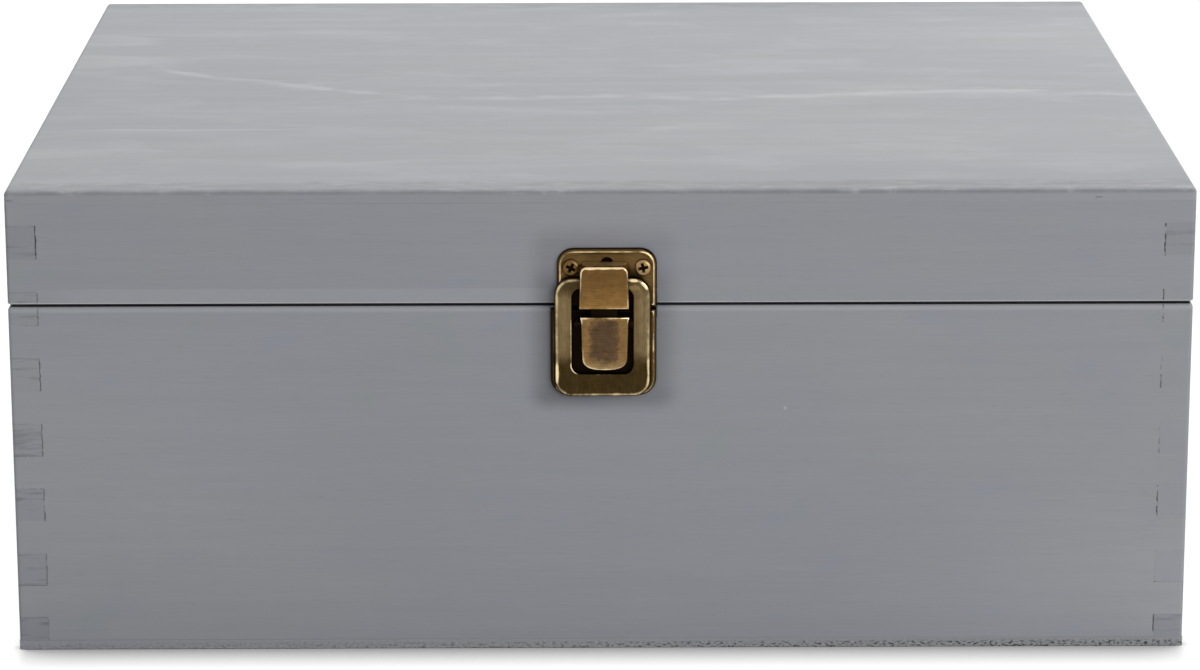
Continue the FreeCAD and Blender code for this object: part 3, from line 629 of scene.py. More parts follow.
# The worn colour serves worn metal and painted highlights, the dark colour patina and painted shade; the low
# and crown colours are painted reflections on the frame.
BRASS_WORN_AND_LIT = stain(236, 212, 166)
BRASS_DARK = stain(22, 16, 9)
BRASS_DARK_REFLECTION = stain(58, 45, 23)
BRASS_CROWN_SHEEN = stain(146, 126, 92)
BRASS_DULL = stain(66, 51, 42)
BRASS_SCREW = stain(104, 80, 46)
ACROSS_BRUSH = (150.0, 2600.0, 2600.0)
UPWARD_BRUSH = (2600.0, 2600.0, 150.0)
LOOSE_BRUSH = (900.0, 900.0, 900.0)
BLOTCHES = (380.0, 380.0, 380.0)
PATCHES = (130.0, 130.0, 130.0)
BRASS_RELIEF = 0.05 * MM
PATCHY = 1.5
EVEN = 0.7


def antique_brass(name, face, brush, tone=None, painted_shade=None, spots=(), mottle=PATCHY):
    """Brushed brass gone dark with age, bright where its mesh value is high, for worn metal and painted
    highlights, and black where that value is below nought, for patina in its hollows and painted shade.
    """
    finish = new_finish(name)
    place, places = finish.places()
    wear = finish.node("ShaderNodeAttribute", {"attribute_name": "wear"}, output="Fac")
    # Painted highlights at the given spots.
    for across, up, radius in spots:
        beside = places[0] - across
        over = places[2] - up
        away = beside * beside + over * over
        wear = wear * (1.0 + finish.fade(away, radius * radius, 0.0))
    brushing = finish.noise(place, brush, detail=3.0, rough=0.65)
    blotches = finish.noise(place, BLOTCHES, (5.0, 2.0, 8.0), detail=3.0, rough=0.6)
    patches = finish.noise(place, PATCHES, (2.0, 7.0, 3.0))
    scratches = finish.noise(place, tuple(lumps * 2.3 for lumps in brush), (1.0, 9.0, 4.0))
    strength = 1.0 + (brushing - 0.5) * 0.9 + (blotches - 0.5) * 0.8 + (scratches - 0.5) * 0.6
    colour = face
    if tone is not None:
        colour = tone(finish, place, places, face)
    colour = finish.shaded(colour, strength)
    # Bright for worn metal and painted highlights.
    rubbing_and_sheen = wear + (blotches - 0.5) * 0.7 + (patches - 0.5) * mottle - 0.05
    bright = finish.fade(rubbing_and_sheen, 0.35, 1.05)
    colour = finish.mix(bright, colour, BRASS_WORN_AND_LIT)
    # Black for patina in the hollows and painted shade, with the painted shade of the opening where given.
    dark = finish.fade((blotches - 0.5) * 0.2 - wear, 0.1, 0.9)
    if painted_shade is not None:
        dark = dark.most(painted_shade(finish, places))
    colour = finish.mix(dark, colour, BRASS_DARK)
    rough = 0.36 + (blotches - 0.5) * 0.2 + dark * 0.2 - bright * 0.08
    height = brushing * 0.5 + scratches * 0.3 + blotches * 0.2
    return finish.surface(Base_Color=colour, Metallic=1.0, Roughness=rough,
                          Normal=finish.bump(height, 0.2, BRASS_RELIEF))


def shade_in_the_opening(finish, places):
    """Painted shade where the plates lie behind the frame or end at the lid line, and on the plate beside the
    frame's left edge just below the lid line.
    """
    x, z = places[0::2]
    inside = finish.fade(abs(x - (frame_left + frame_right) / 2), 12.5 * MM, 11.5 * MM)
    opening = inside * finish.fade(z, frame_high - 1.0 * MM, frame_high - 2.5 * MM)
    cut_ends = finish.band(z, catch_high - 1.8 * MM, strike_low + 1.8 * MM, 0.3 * MM)
    plate_half = (strike_right - strike_left) / 2
    within = finish.fade(abs(x - latch_middle), plate_half - 1.3 * MM, plate_half - 1.7 * MM)
    margin = finish.fade(x, frame_left + 0.6 * MM, frame_left + 0.2 * MM)
    margin = margin * finish.fade(z - lid_line, 0.0, -1 * MM)
    return opening.most(cut_ends * within).most(margin * 0.85)


def plate_tone(finish, place, places, face):
    """Painted shade close to the upper bill and the screws, where the bill's shadow falls."""
    ragged = finish.noise(place, (300.0, 300.0, 300.0), detail=3.0) - 0.5
    close = finish.fade(abs(places[0] - bill_middle) + ragged * (3 * MM), 13.5 * MM, 10.0 * MM)
    low = finish.fade(places[2] - lid_line + ragged * (2 * MM), 13.0 * MM, 9.5 * MM)
    return finish.mix(close * low * 0.9, face, BRASS_DARK)


def frame_tone(finish, place, places, face):
    """Painted reflections on the frame: its lower bar and upper corners darker than its sides, a paler crown
    on its side bars, its right side darker, and a paler rim at its right edge.
    """
    x, z = places[0::2]
    up = z - lid_line
    ragged = finish.noise(place, (260.0, 260.0, 200.0), detail=3.0) - 0.5
    low = finish.fade(up + ragged * (4 * MM), -12.6 * MM, -18.4 * MM)
    high = finish.fade(up + ragged * (3 * MM), 1.5 * MM, 6.5 * MM)
    right = finish.fade(x - bill_middle, -6 * MM, 8 * MM)
    across = abs(x - (frame_left + frame_right) / 2)
    crown = finish.band(across, 10.8 * MM, 12.7 * MM, 0.9 * MM)
    sides = finish.mix(crown * 0.4, face, BRASS_CROWN_SHEEN)
    sides = finish.shaded(sides, 0.88 - right * 0.18)
    rim = finish.fade(x - frame_right, -2.0 * MM, -1.2 * MM)
    sides = finish.mix(rim * 0.10, sides, BRASS_WORN_AND_LIT)
    return finish.mix(low.most(high * (0.85 - right * 0.4)), sides, BRASS_DARK_REFLECTION)


def tongue_tone(finish, place, places, face):
    """The upper bill grows paler down to its edge, and the wall that rises to it from the plate is paler with
    painted light.
    """
    up = places[2] - tongue_low
    tall = tongue_high - tongue_low
    rubbed = finish.fade(up, 1.7 * MM, 0.5 * MM)
    bill = finish.shaded(face, 1.2 - finish.fade(up, 0.05 * tall, 0.85 * tall) * 0.45 + rubbed * 0.5)
    foot = finish.fade(up, tall - 0.05 * MM, tall + 0.2 * MM)
    return finish.mix(foot * 0.6, bill, BRASS_WORN_AND_LIT)


def lever_tone(finish, place, places, face):
    """The middle of the lower bill has gone dull brown, and its foot is paler."""
    ragged = finish.noise(place, (460.0, 460.0, 460.0), detail=5.0, rough=0.65)
    scratched = finish.noise(place, (240.0, 240.0, 1500.0), (4.0, 4.0, 1.0), detail=3.0, rough=0.7)
    across = (places[0] - bill_middle) / (4.8 * MM)
    up = (places[2] - lid_line + 10.2 * MM) / (7.6 * MM)
    square = across * across * across * across + up * up * up * up
    away = square + (ragged - 0.5) * 2.2 + (scratched - 0.5) * 1.6
    foot = finish.fade(places[2] - lever_low, 3.4 * MM, 0.6 * MM)
    bill = finish.mix(foot * 0.14, face, BRASS_WORN_AND_LIT)
    return finish.mix(finish.fade(away, 1.2, 0.1) * 0.8, bill, BRASS_DULL)


def screw_tone(finish, place, places, face):
    """No two screws have worn alike."""
    return finish.mix(finish.fade(places[0], -6 * MM, 8 * MM), BRASS_SCREW, face)


# Painted highlights: place across, place up and radius
PLATE_HIGHLIGHTS = [(catch_right - 1 * MM, catch_high - 0.8 * MM, 1.4 * MM),
               (strike_right - 3.2 * MM, strike_high - 2.2 * MM, 2.5 * MM)]
FRAME_HIGHLIGHTS = [(frame_left + 5.1 * MM, frame_low + up * MM, 2.8 * MM) for up in (8.3, 9.3, 14, 18, 22)]
FRAME_HIGHLIGHTS += [(frame_right + 2.8 * MM, frame_low + up * MM, 5.0 * MM) for up in (5.0, 9.5)]
FRAME_HIGHLIGHTS += [(frame_left - 0.6 * MM, frame_low + 7.6 * MM, 4.2 * MM),
                (frame_right - 5.0 * MM, frame_high - 0.8 * MM, 1.4 * MM),
                (frame_right - 1.6 * MM, frame_high - 2.4 * MM, 1.8 * MM)]
TONGUE_HIGHLIGHTS = [(bill_middle + across * MM, tongue_high, 4.0 * MM) for across in (-6.2, -2.0, 2.0, 6.2)]
LEVER_HIGHLIGHTS = [(bill_middle + across * MM, lid_line - 2.8 * MM, 2.4 * MM) for across in (-7.0, 7.0)]
LEVER_HIGHLIGHTS += [(bill_middle + across * MM, lever_low + 0.4 * MM, 2.4 * MM) for across in (-3.6, 0.0, 3.6)]

plate_brass = antique_brass("antique_brass_plates", stain(96, 75, 43), ACROSS_BRUSH, plate_tone,
                            shade_in_the_opening, PLATE_HIGHLIGHTS)
frame_brass = antique_brass("antique_brass_frame", stain(116, 97, 65), UPWARD_BRUSH, frame_tone,
                            spots=FRAME_HIGHLIGHTS, mottle=EVEN)
tongue_brass = antique_brass("antique_brass_tongue", stain(114, 85, 47), ACROSS_BRUSH, tongue_tone,
                             spots=TONGUE_HIGHLIGHTS)
lever_brass = antique_brass("antique_brass_lever", stain(122, 95, 58), ACROSS_BRUSH, lever_tone,
                            spots=LEVER_HIGHLIGHTS)
screw_brass = antique_brass("antique_brass_screws", stain(150, 124, 86), LOOSE_BRUSH, screw_tone)
# The catch's screws sit in the dark opening of the frame; their near-black brass is painted shade.
shaded_screw_brass = antique_brass("antique_brass_hidden_screws", stain(40, 31, 18), LOOSE_BRUSH)
hinge_brass = antique_brass("antique_brass_hinges", stain(106, 86, 54), ACROSS_BRUSH)
pin_brass = antique_brass("antique_brass_latch_pin", stain(34, 26, 15), LOOSE_BRUSH)


# Mesh making

CORNER_STEPS = 8
SIDE_STEPS = 12
SHARP_CORNER = 0.12 * MM
BAR_EDGE = 0.12 * MM
TURN_STEPS = 32
CREASE = math.radians(38)
UNTOUCHED = 0.0
SHADED = -1.0


def front_spot(across, out, up):
    """A place on the box front, so far out from the wood."""
    return Vector((across, -half_depth - out, up))


def stood_out(outline, out):
    """An outline of places across and up, set so far out from the wood."""
    return [front_spot(across, out, up) for across, up in outline]


def arc(first, second, radius, start, turn, steps):
    """Places on an arc about a middle, with both its ends."""
    places = []
    for step in range(steps + 1):
        angle = start + turn * step / steps
        places.append((first + radius * math.cos(angle), second + radius * math.sin(angle)))
    return places


def circle(first, second, radius):
    """Places on a circle about a middle."""
    return arc(first, second, radius, 0.0, FULL_TURN, TURN_STEPS)[:-1]


def rounded_outline(sides, low_round, high_round, inset=0.0):
    """Places round a rectangle with rounded corners, upwards from its lower right corner."""
    left, right, low, high = sides
    corners = [(right, low, 1, -1, low_round, -HALF_PI), (right, high, 1, 1, high_round, 0.0),
               (left, high, -1, 1, high_round, HALF_PI), (left, low, -1, -1, low_round, math.pi)]
    arcs = []
    for x, z, x_side, z_side, full_round, start in corners:
        radius = max(full_round - inset, SHARP_CORNER)
        middle_x = x - x_side * (inset + radius)
        middle_z = z - z_side * (inset + radius)
        arcs.append(arc(middle_x, middle_z, radius, start, HALF_PI, CORNER_STEPS))
    outline = []
    for corner, following in zip(arcs, arcs[1:] + arcs[:1]):
        outline.extend(corner)
        start_x, start_z = corner[-1]
        end_x, end_z = following[0]
        for step in range(1, SIDE_STEPS):
            share = step / SIDE_STEPS
            outline.append((start_x + (end_x - start_x) * share, start_z + (end_z - start_z) * share))
    return outline


def between(first, second, share):
    """An outline part of the way from one to another."""
    return [(ax + (bx - ax) * share, az + (bz - az) * share) for (ax, az), (bx, bz) in zip(first, second)]


def skin(rings, joined=False, open_end=False):
    """A shell over rings of places, each ring with its value for worn metal and painted shading."""
    shell = bmesh.new()
    worn = shell.verts.layers.float.new("wear")
    loops = []
    for places, wear in rings:
        loop = [shell.verts.new(place) for place in places]
        for vert in loop:
            vert[worn] = wear
        loops.append(loop)
    pairs = list(zip(loops, loops[1:]))
    if joined:
        pairs.append((loops[-1], loops[0]))
    for first, second in pairs:
        for index, vert in enumerate(first):
            after = (index + 1) % len(first)
            shell.faces.new((vert, first[after], second[after], second[index]))
    if not joined:
        shell.faces.new(loops[-1])
        if not open_end:
            shell.faces.new(loops[0][::-1])
    bmesh.ops.recalc_face_normals(shell, faces=shell.faces)
    return shell


def strip(profile, left, right, wear):
    """A bar across the front whose ends have one outline, given as places out and up."""
    ends = []
    for across in (left, right):
        ends.append(([front_spot(across, out, up) for out, up in profile], wear))
    shell = skin(ends)
    bmesh.ops.bevel(shell, geom=shell.edges[:], offset=BAR_EDGE, segments=2, affect="EDGES", profile=0.6)
    return shell


def pair_of_strips(profile, inner, outer, wear):
    """The same bar at the left and the right of the bills, between two distances from their middle."""
    return [strip(profile, bill_middle - outer, bill_middle - inner, wear),
            strip(profile, bill_middle + inner, bill_middle + outer, wear)]


def one_mesh(name, *shells):
    """Join shells into one mesh."""
    whole = bmesh.new()
    whole.verts.layers.float.new("wear")
    for shell in shells:
        part = bpy.data.meshes.new("part")
        shell.to_mesh(part)
        shell.free()
        whole.from_mesh(part)
        bpy.data.meshes.remove(part)
    mesh = bpy.data.meshes.new(name)
    whole.to_mesh(mesh)
    whole.free()
    return mesh


def stand_in(name, mesh):
    """An object for a mesh that is still worked on."""
    thing = bpy.data.objects.new(name, mesh)
    scene.collection.objects.link(thing)
    return thing


def finished(thing, name, *helpers):
    """The mesh of an object with its modifiers worked in; the object and its helpers go."""
    bpy.context.view_layer.update()
    seen = thing.evaluated_get(bpy.context.evaluated_depsgraph_get())
    mesh = bpy.data.meshes.new_from_object(seen)
    mesh.name = name
    for used in (thing, *helpers):
        bpy.data.objects.remove(used)
    return mesh


def carved(mesh, *cutters):
    """A mesh with the cutters' shapes taken out of it."""
    thing = stand_in("blank", mesh)
    helpers = []
    for cutter in cutters:
        helper = stand_in("cutter", cutter)
        helpers.append(helper)
        cut = thing.modifiers.new("cut", "BOOLEAN")
        cut.operation = "DIFFERENCE"
        cut.solver = "EXACT"
        cut.object = helper
    return finished(thing, mesh.name, *helpers)


def fitted(name, mesh, body, slot, finish, *nodes):
    """Put a piece on its body in place of its CAD nodes."""
    mesh.materials.clear()
    mesh.materials.append(finish)
    mesh.shade_smooth()
    mesh.set_sharp_from_angle(angle=CREASE)
    piece = bpy.data.objects.new(name, mesh)
    scene.collection.objects.link(piece)
    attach(piece, body)
    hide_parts(*nodes)


# Latch plates

# From a plate's edge inwards: inset in millimetres, share of its height, and wear, with painted highlight and
# shade
PLATE_RIM = [(0.0, 0.0, -0.9), (0.06, 0.35, -0.8), (0.22, 0.65, -0.6), (0.5, 0.88, -0.2), (0.72, 0.97, 0.25),
             (0.9, 1.0, 1.0), (1.08, 0.99, 0.75), (1.3, 0.95, 0.05), (1.7, 0.88, -0.25), (2.2, 0.85, -0.1),
             (3.4, 0.84, 0.0)]
PLATE_CUT_ROUND = 0.4 * MM
STRIKE_ROUND = 5.0 * MM
STRIKE_RUB_AND_SHINE = 1.0
CATCH_ROUND = 5.4 * MM
CATCH_RUB_AND_SHINE = 0.6
CATCH_OUT = 2.0 * MM
CUTTER_START = 0.2 * MM
CUTTER_END = 3 * MM
PEEP_HOLE = 1.95 * MM
PEEP_RIGHT = 0.9 * MM
PEEP_RISE = 13.0 * MM
WINDOW_HALF = 5 * MM
WINDOW_OVERRUN = 2 * MM
WINDOW_RISE = 5.8 * MM
PIVOT_DROP = 5.0 * MM
EAR_RADIUS = 1.5 * MM
EAR_ROOT = 0.4 * MM
EAR_INNER = 7.8 * MM
EAR_OUTER = 8.6 * MM
EAR_STEPS = 12
EAR_WEAR_AND_SHADING = -0.9


def pressed_plate(name, sides, low_round, high_round, stand, rubbed, *more):
    """A plate with a bead inside its edge, worn and with a painted highlight, brighter or less so, with what
    else belongs to it.
    """
    rings = []
    for inset, share, wear in PLATE_RIM:
        outline = rounded_outline(sides, low_round, high_round, inset * MM)
        worn = wear * rubbed if wear > 0 else wear
        rings.append((stood_out(outline, stand * share), worn))
    return one_mesh(name, skin(rings), *more)


def plate_cutter(outline):
    """A cutter through a plate, with one outline."""
    rings = [(stood_out(outline, out), SHADED) for out in (CUTTER_START, CUTTER_END)]
    return one_mesh("plate_cutter", skin(rings))


peep_hole = circle(bill_middle + PEEP_RIGHT, lid_line + PEEP_RISE, PEEP_HOLE)
window_sides = (bill_middle - WINDOW_HALF, bill_middle + WINDOW_HALF)
window_low = strike_low - WINDOW_OVERRUN
window_high = strike_low + WINDOW_RISE
nose_window = [(window_sides[0], window_low), (window_sides[1], window_low), (window_sides[1], window_high),
               (window_sides[0], window_high)]
strike = pressed_plate("strike_plate_pressed", strike_sides, PLATE_CUT_ROUND, STRIKE_ROUND, strike_out,
                       STRIKE_RUB_AND_SHINE)
strike = carved(strike, plate_cutter(peep_hole), plate_cutter(nose_window))
fitted("strike_plate_pressed", strike, "lid", "antique_brass", plate_brass, "strike_plate")

pivot_out = ear_out - EAR_RADIUS
pivot_up = lid_line - PIVOT_DROP
ear = [(CATCH_OUT - EAR_ROOT, pivot_up + EAR_RADIUS)]
ear += arc(pivot_out, pivot_up, EAR_RADIUS, HALF_PI, -math.pi, EAR_STEPS)
ear.append((CATCH_OUT - EAR_ROOT, pivot_up - EAR_RADIUS))
catch = pressed_plate("catch_plate_pressed", catch_sides, CATCH_ROUND, PLATE_CUT_ROUND, CATCH_OUT,
                      CATCH_RUB_AND_SHINE, *pair_of_strips(ear, EAR_INNER, EAR_OUTER, EAR_WEAR_AND_SHADING))
fitted("catch_plate_pressed", catch, "base", "antique_brass", plate_brass, "catch_plate")


# Frame of the latch

# Inset in millimetres, share of the height over the catch plate, and wear, with painted highlight and shade
FRAME_OUTER = [(0.0, 0.0, -0.9), (0.06, 0.25, -0.8), (0.2, 0.46, -0.3), (0.4, 0.58, 0.45),
               (0.65, 0.63, 0.66), (1.0, 0.65, 0.58), (1.4, 0.64, 0.25), (1.8, 0.63, 0.0)]
FRAME_INNER = [(-0.75, 0.95, 0.0), (-0.5, 0.99, 0.2), (-0.25, 0.97, 0.42), (-0.1, 0.88, 0.1),
               (0.0, 0.6, -0.8), (0.0, 0.0, -1.0)]
# Share of the way from the outer to the inner edge, share of the height, and wear, with painted highlight and
# shade
FRAME_FACE = [(0.33, 0.74, 0.0), (0.66, 0.86, 0.0)]
FRAME_ROUND = 5.2 * MM
OPENING_STEPS = (5.3, -5.3, 7.4, -3.2)
OPENING_ROUND = 2.8 * MM


def latch_ring():
    """A ring whose front slopes up from an outer bead, worn and with a painted highlight, to its opening."""
    opening = moved(frame_sides, OPENING_STEPS)
    outer = [(rounded_outline(frame_sides, FRAME_ROUND, FRAME_ROUND, inset * MM), share, wear)
             for inset, share, wear in FRAME_OUTER]
    inner = [(rounded_outline(opening, OPENING_ROUND, OPENING_ROUND, inset * MM), share, wear)
             for inset, share, wear in FRAME_INNER]
    face = [(between(outer[-1][0], inner[0][0], across), share, wear) for across, share, wear in FRAME_FACE]
    rings = []
    for outline, share, wear in outer + face + inner:
        rings.append((stood_out(outline, CATCH_OUT + (frame_out - CATCH_OUT) * share), wear))
    return one_mesh("latch_ring", skin(rings, joined=True))


fitted("latch_ring", latch_ring(), "base", "antique_brass", frame_brass, "latch_frame")


# Upper bill

# From its face to its edge: inset and distance back, both in millimetres, and wear, with painted highlight
# and shade
TONGUE_EDGE = [(1.1, 0.0, 0.0), (0.7, 0.03, 0.15), (0.42, 0.1, 0.5), (0.22, 0.2, 0.65), (0.06, 0.42, 0.4),
               (0.0, 0.75, 0.0), (-0.03, 1.3, 0.0)]
TONGUE_LOW_ROUND = 0.3 * MM
TONGUE_HIGH_ROUND = 1.9 * MM
TONGUE_TAPER = 1 - 14.3 / 15.0
TONGUE_FLARE = 0.7 * MM
TONGUE_SHEET = 0.6 * MM
FOOT_WEAR_AND_SHADING = -0.1
OVER_FRAME = 0.6 * MM
CLEAR_OF_FRAME = 0.45 * MM


def tongue_outline(inset):
    """The upper bill's outline, narrower at its top."""
    outline = []
    for across, up in rounded_outline(tongue_sides, TONGUE_LOW_ROUND, TONGUE_HIGH_ROUND, inset):
        width = 1 - TONGUE_TAPER * (up - tongue_low) / (tongue_high - tongue_low)
        outline.append((bill_middle + (across - bill_middle) * width, up))
    return outline


def pressed_tongue():
    """A cap bent out from the plate and down over the frame."""
    foot = []
    for (across, up), (wide, raised) in zip(tongue_outline(0.0), tongue_outline(-TONGUE_FLARE)):
        if up > frame_high + OVER_FRAME:
            foot.append(front_spot(wide, strike_out, raised))
        else:
            foot.append(front_spot(across, frame_out + CLEAR_OF_FRAME, up))
    rings = [(foot, FOOT_WEAR_AND_SHADING)]
    for inset, back, wear in TONGUE_EDGE[::-1]:
        rings.append((stood_out(tongue_outline(inset * MM), tongue_out - back * MM), wear))
    thing = stand_in("tongue", one_mesh("tongue", skin(rings, open_end=True)))
    sheet = thing.modifiers.new("sheet", "SOLIDIFY")
    sheet.thickness = TONGUE_SHEET
    sheet.offset = -1.0
    return finished(thing, "strike_tongue_cap")


fitted("strike_tongue_cap", pressed_tongue(), "lid", "antique_brass", tongue_brass, "strike_tongue")


# Lower bill

# From its back edge to its face: inset and distance out, both in millimetres, and wear, with painted
# highlight and shade
LEVER_EDGE = [(0.3, 5.0, -0.9), (0.0, 5.15, -0.7), (0.0, 5.45, -0.1), (0.1, 5.7, 0.35), (0.3, 5.85, 0.5),
              (0.55, 5.89, 0.25), (1.0, 5.9, 0.1), (2.0, 5.88, 0.0), (3.8, 5.84, 0.0)]
# Millimetres out from the wood and up from the lid line
NOSE_OUTLINE = [(5.45, -2.7), (5.45, -3.5), (3.4, -3.5), (3.4, 2.0), (4.3, 2.0), (5.3, 1.2), (5.3, 0.6),
                (4.3, 0.6), (4.3, -2.7)]
NOSE_HALF = 4 * MM
LEVER_TOP_DROP = 2.6 * MM
LEVER_SHOULDER = 4.2 * MM
LEVER_HALF = 7.15 * MM
LEVER_NARROWING = 0.35 * MM
LEVER_FOOT_HALF = 6.8 * MM
LEVER_FLARE = 0.4 * MM
LEVER_FLARE_DROP = 2.0 * MM
LEVER_RIGHT = 0.2 * MM
LEVER_SIDE_STEPS = 10
LEVER_FOOT_STEPS = 24
FOOT_FULLNESS = 0.72
CHEEK_RADIUS = 1.3 * MM
CHEEK_OUT = 5.4 * MM
CHEEK_INNER = 6.3 * MM
CHEEK_OUTER = 7.1 * MM
CHEEK_STEPS = 8


def lever_outline(inset):
    """The lever's face: a straight top with flared corners, and a full round foot."""
    high = lid_line - LEVER_TOP_DROP
    shoulder = lever_low + LEVER_SHOULDER
    top = high - inset
    side = []
    for step in range(LEVER_SIDE_STEPS):
        up = top + (shoulder - top) * step / LEVER_SIDE_STEPS
        drop = high - up
        flare = LEVER_FLARE * max(0.0, 1 - drop / LEVER_FLARE_DROP) ** 2
        half = LEVER_HALF - LEVER_NARROWING * drop / (high - shoulder) + flare - inset
        side.append((half, up))
    foot = []
    for step in range(LEVER_FOOT_STEPS + 1):
        angle = math.pi * step / LEVER_FOOT_STEPS
        across = math.copysign(abs(math.cos(angle)) ** FOOT_FULLNESS, math.cos(angle))
        depth = math.sin(angle) ** FOOT_FULLNESS
        foot.append(((LEVER_FOOT_HALF - inset) * across, shoulder - (shoulder - lever_low - inset) * depth))
    points = side + foot + [(-half, up) for half, up in side[::-1]]
    return [(bill_middle + LEVER_RIGHT + across, up) for across, up in points[::-1]]


def pressed_lever():
    """The lower bill with its hidden nose, and the cheeks that hold its pin."""
    rings = []
    for inset, out, wear in LEVER_EDGE:
        rings.append((stood_out(lever_outline(inset * MM), out * MM), wear))
    nose = [(out * MM, lid_line + up * MM) for out, up in NOSE_OUTLINE]
    cheek = [(CHEEK_OUT, pivot_up + CHEEK_RADIUS)]
    cheek += arc(pivot_out, pivot_up, CHEEK_RADIUS, HALF_PI, math.pi, CHEEK_STEPS)
    cheek.append((CHEEK_OUT, pivot_up - CHEEK_RADIUS))
    shells = [skin(rings), strip(nose, bill_middle - NOSE_HALF, bill_middle + NOSE_HALF, SHADED)]
    shells += pair_of_strips(cheek, CHEEK_INNER, CHEEK_OUTER, SHADED)
    return one_mesh("latch_lever_pressed", *shells)


fitted("latch_lever_pressed", pressed_lever(), "lever", "antique_brass", lever_brass, "latch_lever")


# Screws

# Radius and height as shares of the head's own, and wear, with painted highlight and shade
HEAD_PROFILE = [(1.0, -0.35, -0.6), (1.0, 0.42, -0.2), (0.97, 0.6, 0.55), (0.88, 0.78, 0.35),
                (0.74, 0.9, 0.1), (0.54, 0.97, 0.1), (0.28, 1.0, 0.1)]
# Height of the recess and its scale there
RECESS_PROFILE = [(0.1, 0.55), (1.0, 1.0), (1.3, 1.15)]
RECESS_REACH = 0.66
RECESS_HALF = 0.2
RECESS_LIMIT = 0.7
RECESS_TOP = 0.5
# Radius and height of the heads
STRIKE_HEAD = (2.45 * MM, 1.1 * MM)
CATCH_HEAD = (2.0 * MM, 1.1 * MM)
HINGE_HEAD = (1.8 * MM, 0.8 * MM)
HINGE_PITCH = 18 * MM
LEAF_THICK = 1.0 * MM
TO_FRONT = (0.0, -1.0, 0.0)
TO_BACK = (0.0, 1.0, 0.0)


def cross_outline(reach, half):
    """A cross of four arms, so long and so wide."""
    quarter = [(reach, -half), (reach, half), (half, half)]
    outline = []
    for turn in range(4):
        for x, y in quarter:
            for _ in range(turn):
                x, y = -y, x
            outline.append((x, y))
    return outline


def screw_head():
    """A domed head of unit radius and height with a cross recess, its seat at nought."""
    rings = []
    for radius, height, wear in HEAD_PROFILE:
        rings.append(([Vector((x, y, height)) for x, y in circle(0.0, 0.0, radius)], wear))
    recess = []
    for height, scale in RECESS_PROFILE:
        outline = cross_outline(RECESS_REACH * scale, RECESS_HALF * scale)
        recess.append(([Vector((x, y, height)) for x, y in outline], SHADED))
    head = carved(one_mesh("head", skin(rings)), one_mesh("recess", skin(recess)))
    wear = head.attributes["wear"].data
    for vert in head.vertices:
        if vert.co.xy.length < RECESS_LIMIT and vert.co.z < RECESS_TOP:
            wear[vert.index].value = SHADED
    return head


def screw_setter():
    """A node tree that drives a screw into each spot, turned at random."""
    tree = bpy.data.node_groups.new("screw_setter", "GeometryNodeTree")
    kinds = {"Spots": "Geometry", "Screw": "Object", "Head radius": "Float", "Head height": "Float",
             "Facing": "Vector", "Seed": "Int", "Finish": "Material"}
    for label, kind in kinds.items():
        tree.interface.new_socket(label, in_out="INPUT", socket_type="NodeSocket" + kind)
    tree.interface.new_socket("Screws", in_out="OUTPUT", socket_type="NodeSocketGeometry")
    given = tree.nodes.new("NodeGroupInput").outputs
    result = tree.nodes.new("NodeGroupOutput")

    def add(kind, links, output=0, **settings):
        made = tree.nodes.new(kind)
        for name, value in settings.items():
            setattr(made, name, value)
        for key, value in links.items():
            if isinstance(value, bpy.types.NodeSocket):
                tree.links.new(value, made.inputs[key])
            else:
                made.inputs[key].default_value = value
        return made.outputs[output]

    screw = add("GeometryNodeObjectInfo", {"Object": given["Screw"]}, output="Geometry")
    facing = add("FunctionNodeAlignRotationToVector", {"Vector": given["Facing"]}, axis="Z")
    angle = add("FunctionNodeRandomValue", {2: 0.0, 3: HALF_PI, "Seed": given["Seed"]}, output=1,
                data_type="FLOAT")
    twist = add("FunctionNodeAxisAngleToRotation", {"Axis": (0.0, 0.0, 1.0), "Angle": angle})
    turn = add("FunctionNodeRotateRotation", {"Rotation": facing, "Rotate By": twist}, rotation_space="LOCAL")
    size = add("ShaderNodeCombineXYZ", {0: given["Head radius"], 1: given["Head radius"],
                                        2: given["Head height"]})
    driven = add("GeometryNodeInstanceOnPoints", {"Points": given["Spots"], "Instance": screw,
                                                  "Rotation": turn, "Scale": size})
    plain = add("GeometryNodeRealizeInstances", {"Geometry": driven})
    coated = add("GeometryNodeSetMaterial", {"Geometry": plain, "Material": given["Finish"]})
    tree.links.new(coated, result.inputs[0])
    return tree


def screw_rows(node, radius, seat, pitch):
    """Spots of a node's screws: one at each end of its box, or a pair there, so far apart."""
    low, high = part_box(node)
    up = (low.z + high.z) / 2
    first = low.x + radius
    last = high.x - radius
    places = [first, last] if pitch is None else [first, first + pitch, last - pitch, last]
    return [(across, seat, up) for across in places]


def driven_screws(node, body, head, seat, facing, finish, seed, pitch=None):
    """Screws at their spots in place of a CAD node."""
    name = node.replace("screws", "screw_heads")
    radius, height = head
    points = bpy.data.meshes.new(name)
    points.from_pydata(screw_rows(node, radius, seat, pitch), [], [])
    thing = stand_in(name + "_spots", points)
    set_in = thing.modifiers.new("screws", "NODES")
    set_in.node_group = SCREW_SETTER
    values = {"Screw": SCREW_HEAD, "Head radius": radius, "Head height": height, "Facing": facing,
              "Seed": seed, "Finish": finish}
    for item in SCREW_SETTER.interface.items_tree:
        if item.name in values:
            set_in[item.identifier] = values[item.name]
    fitted(name, finished(thing, name), body, "antique_brass", finish, node)


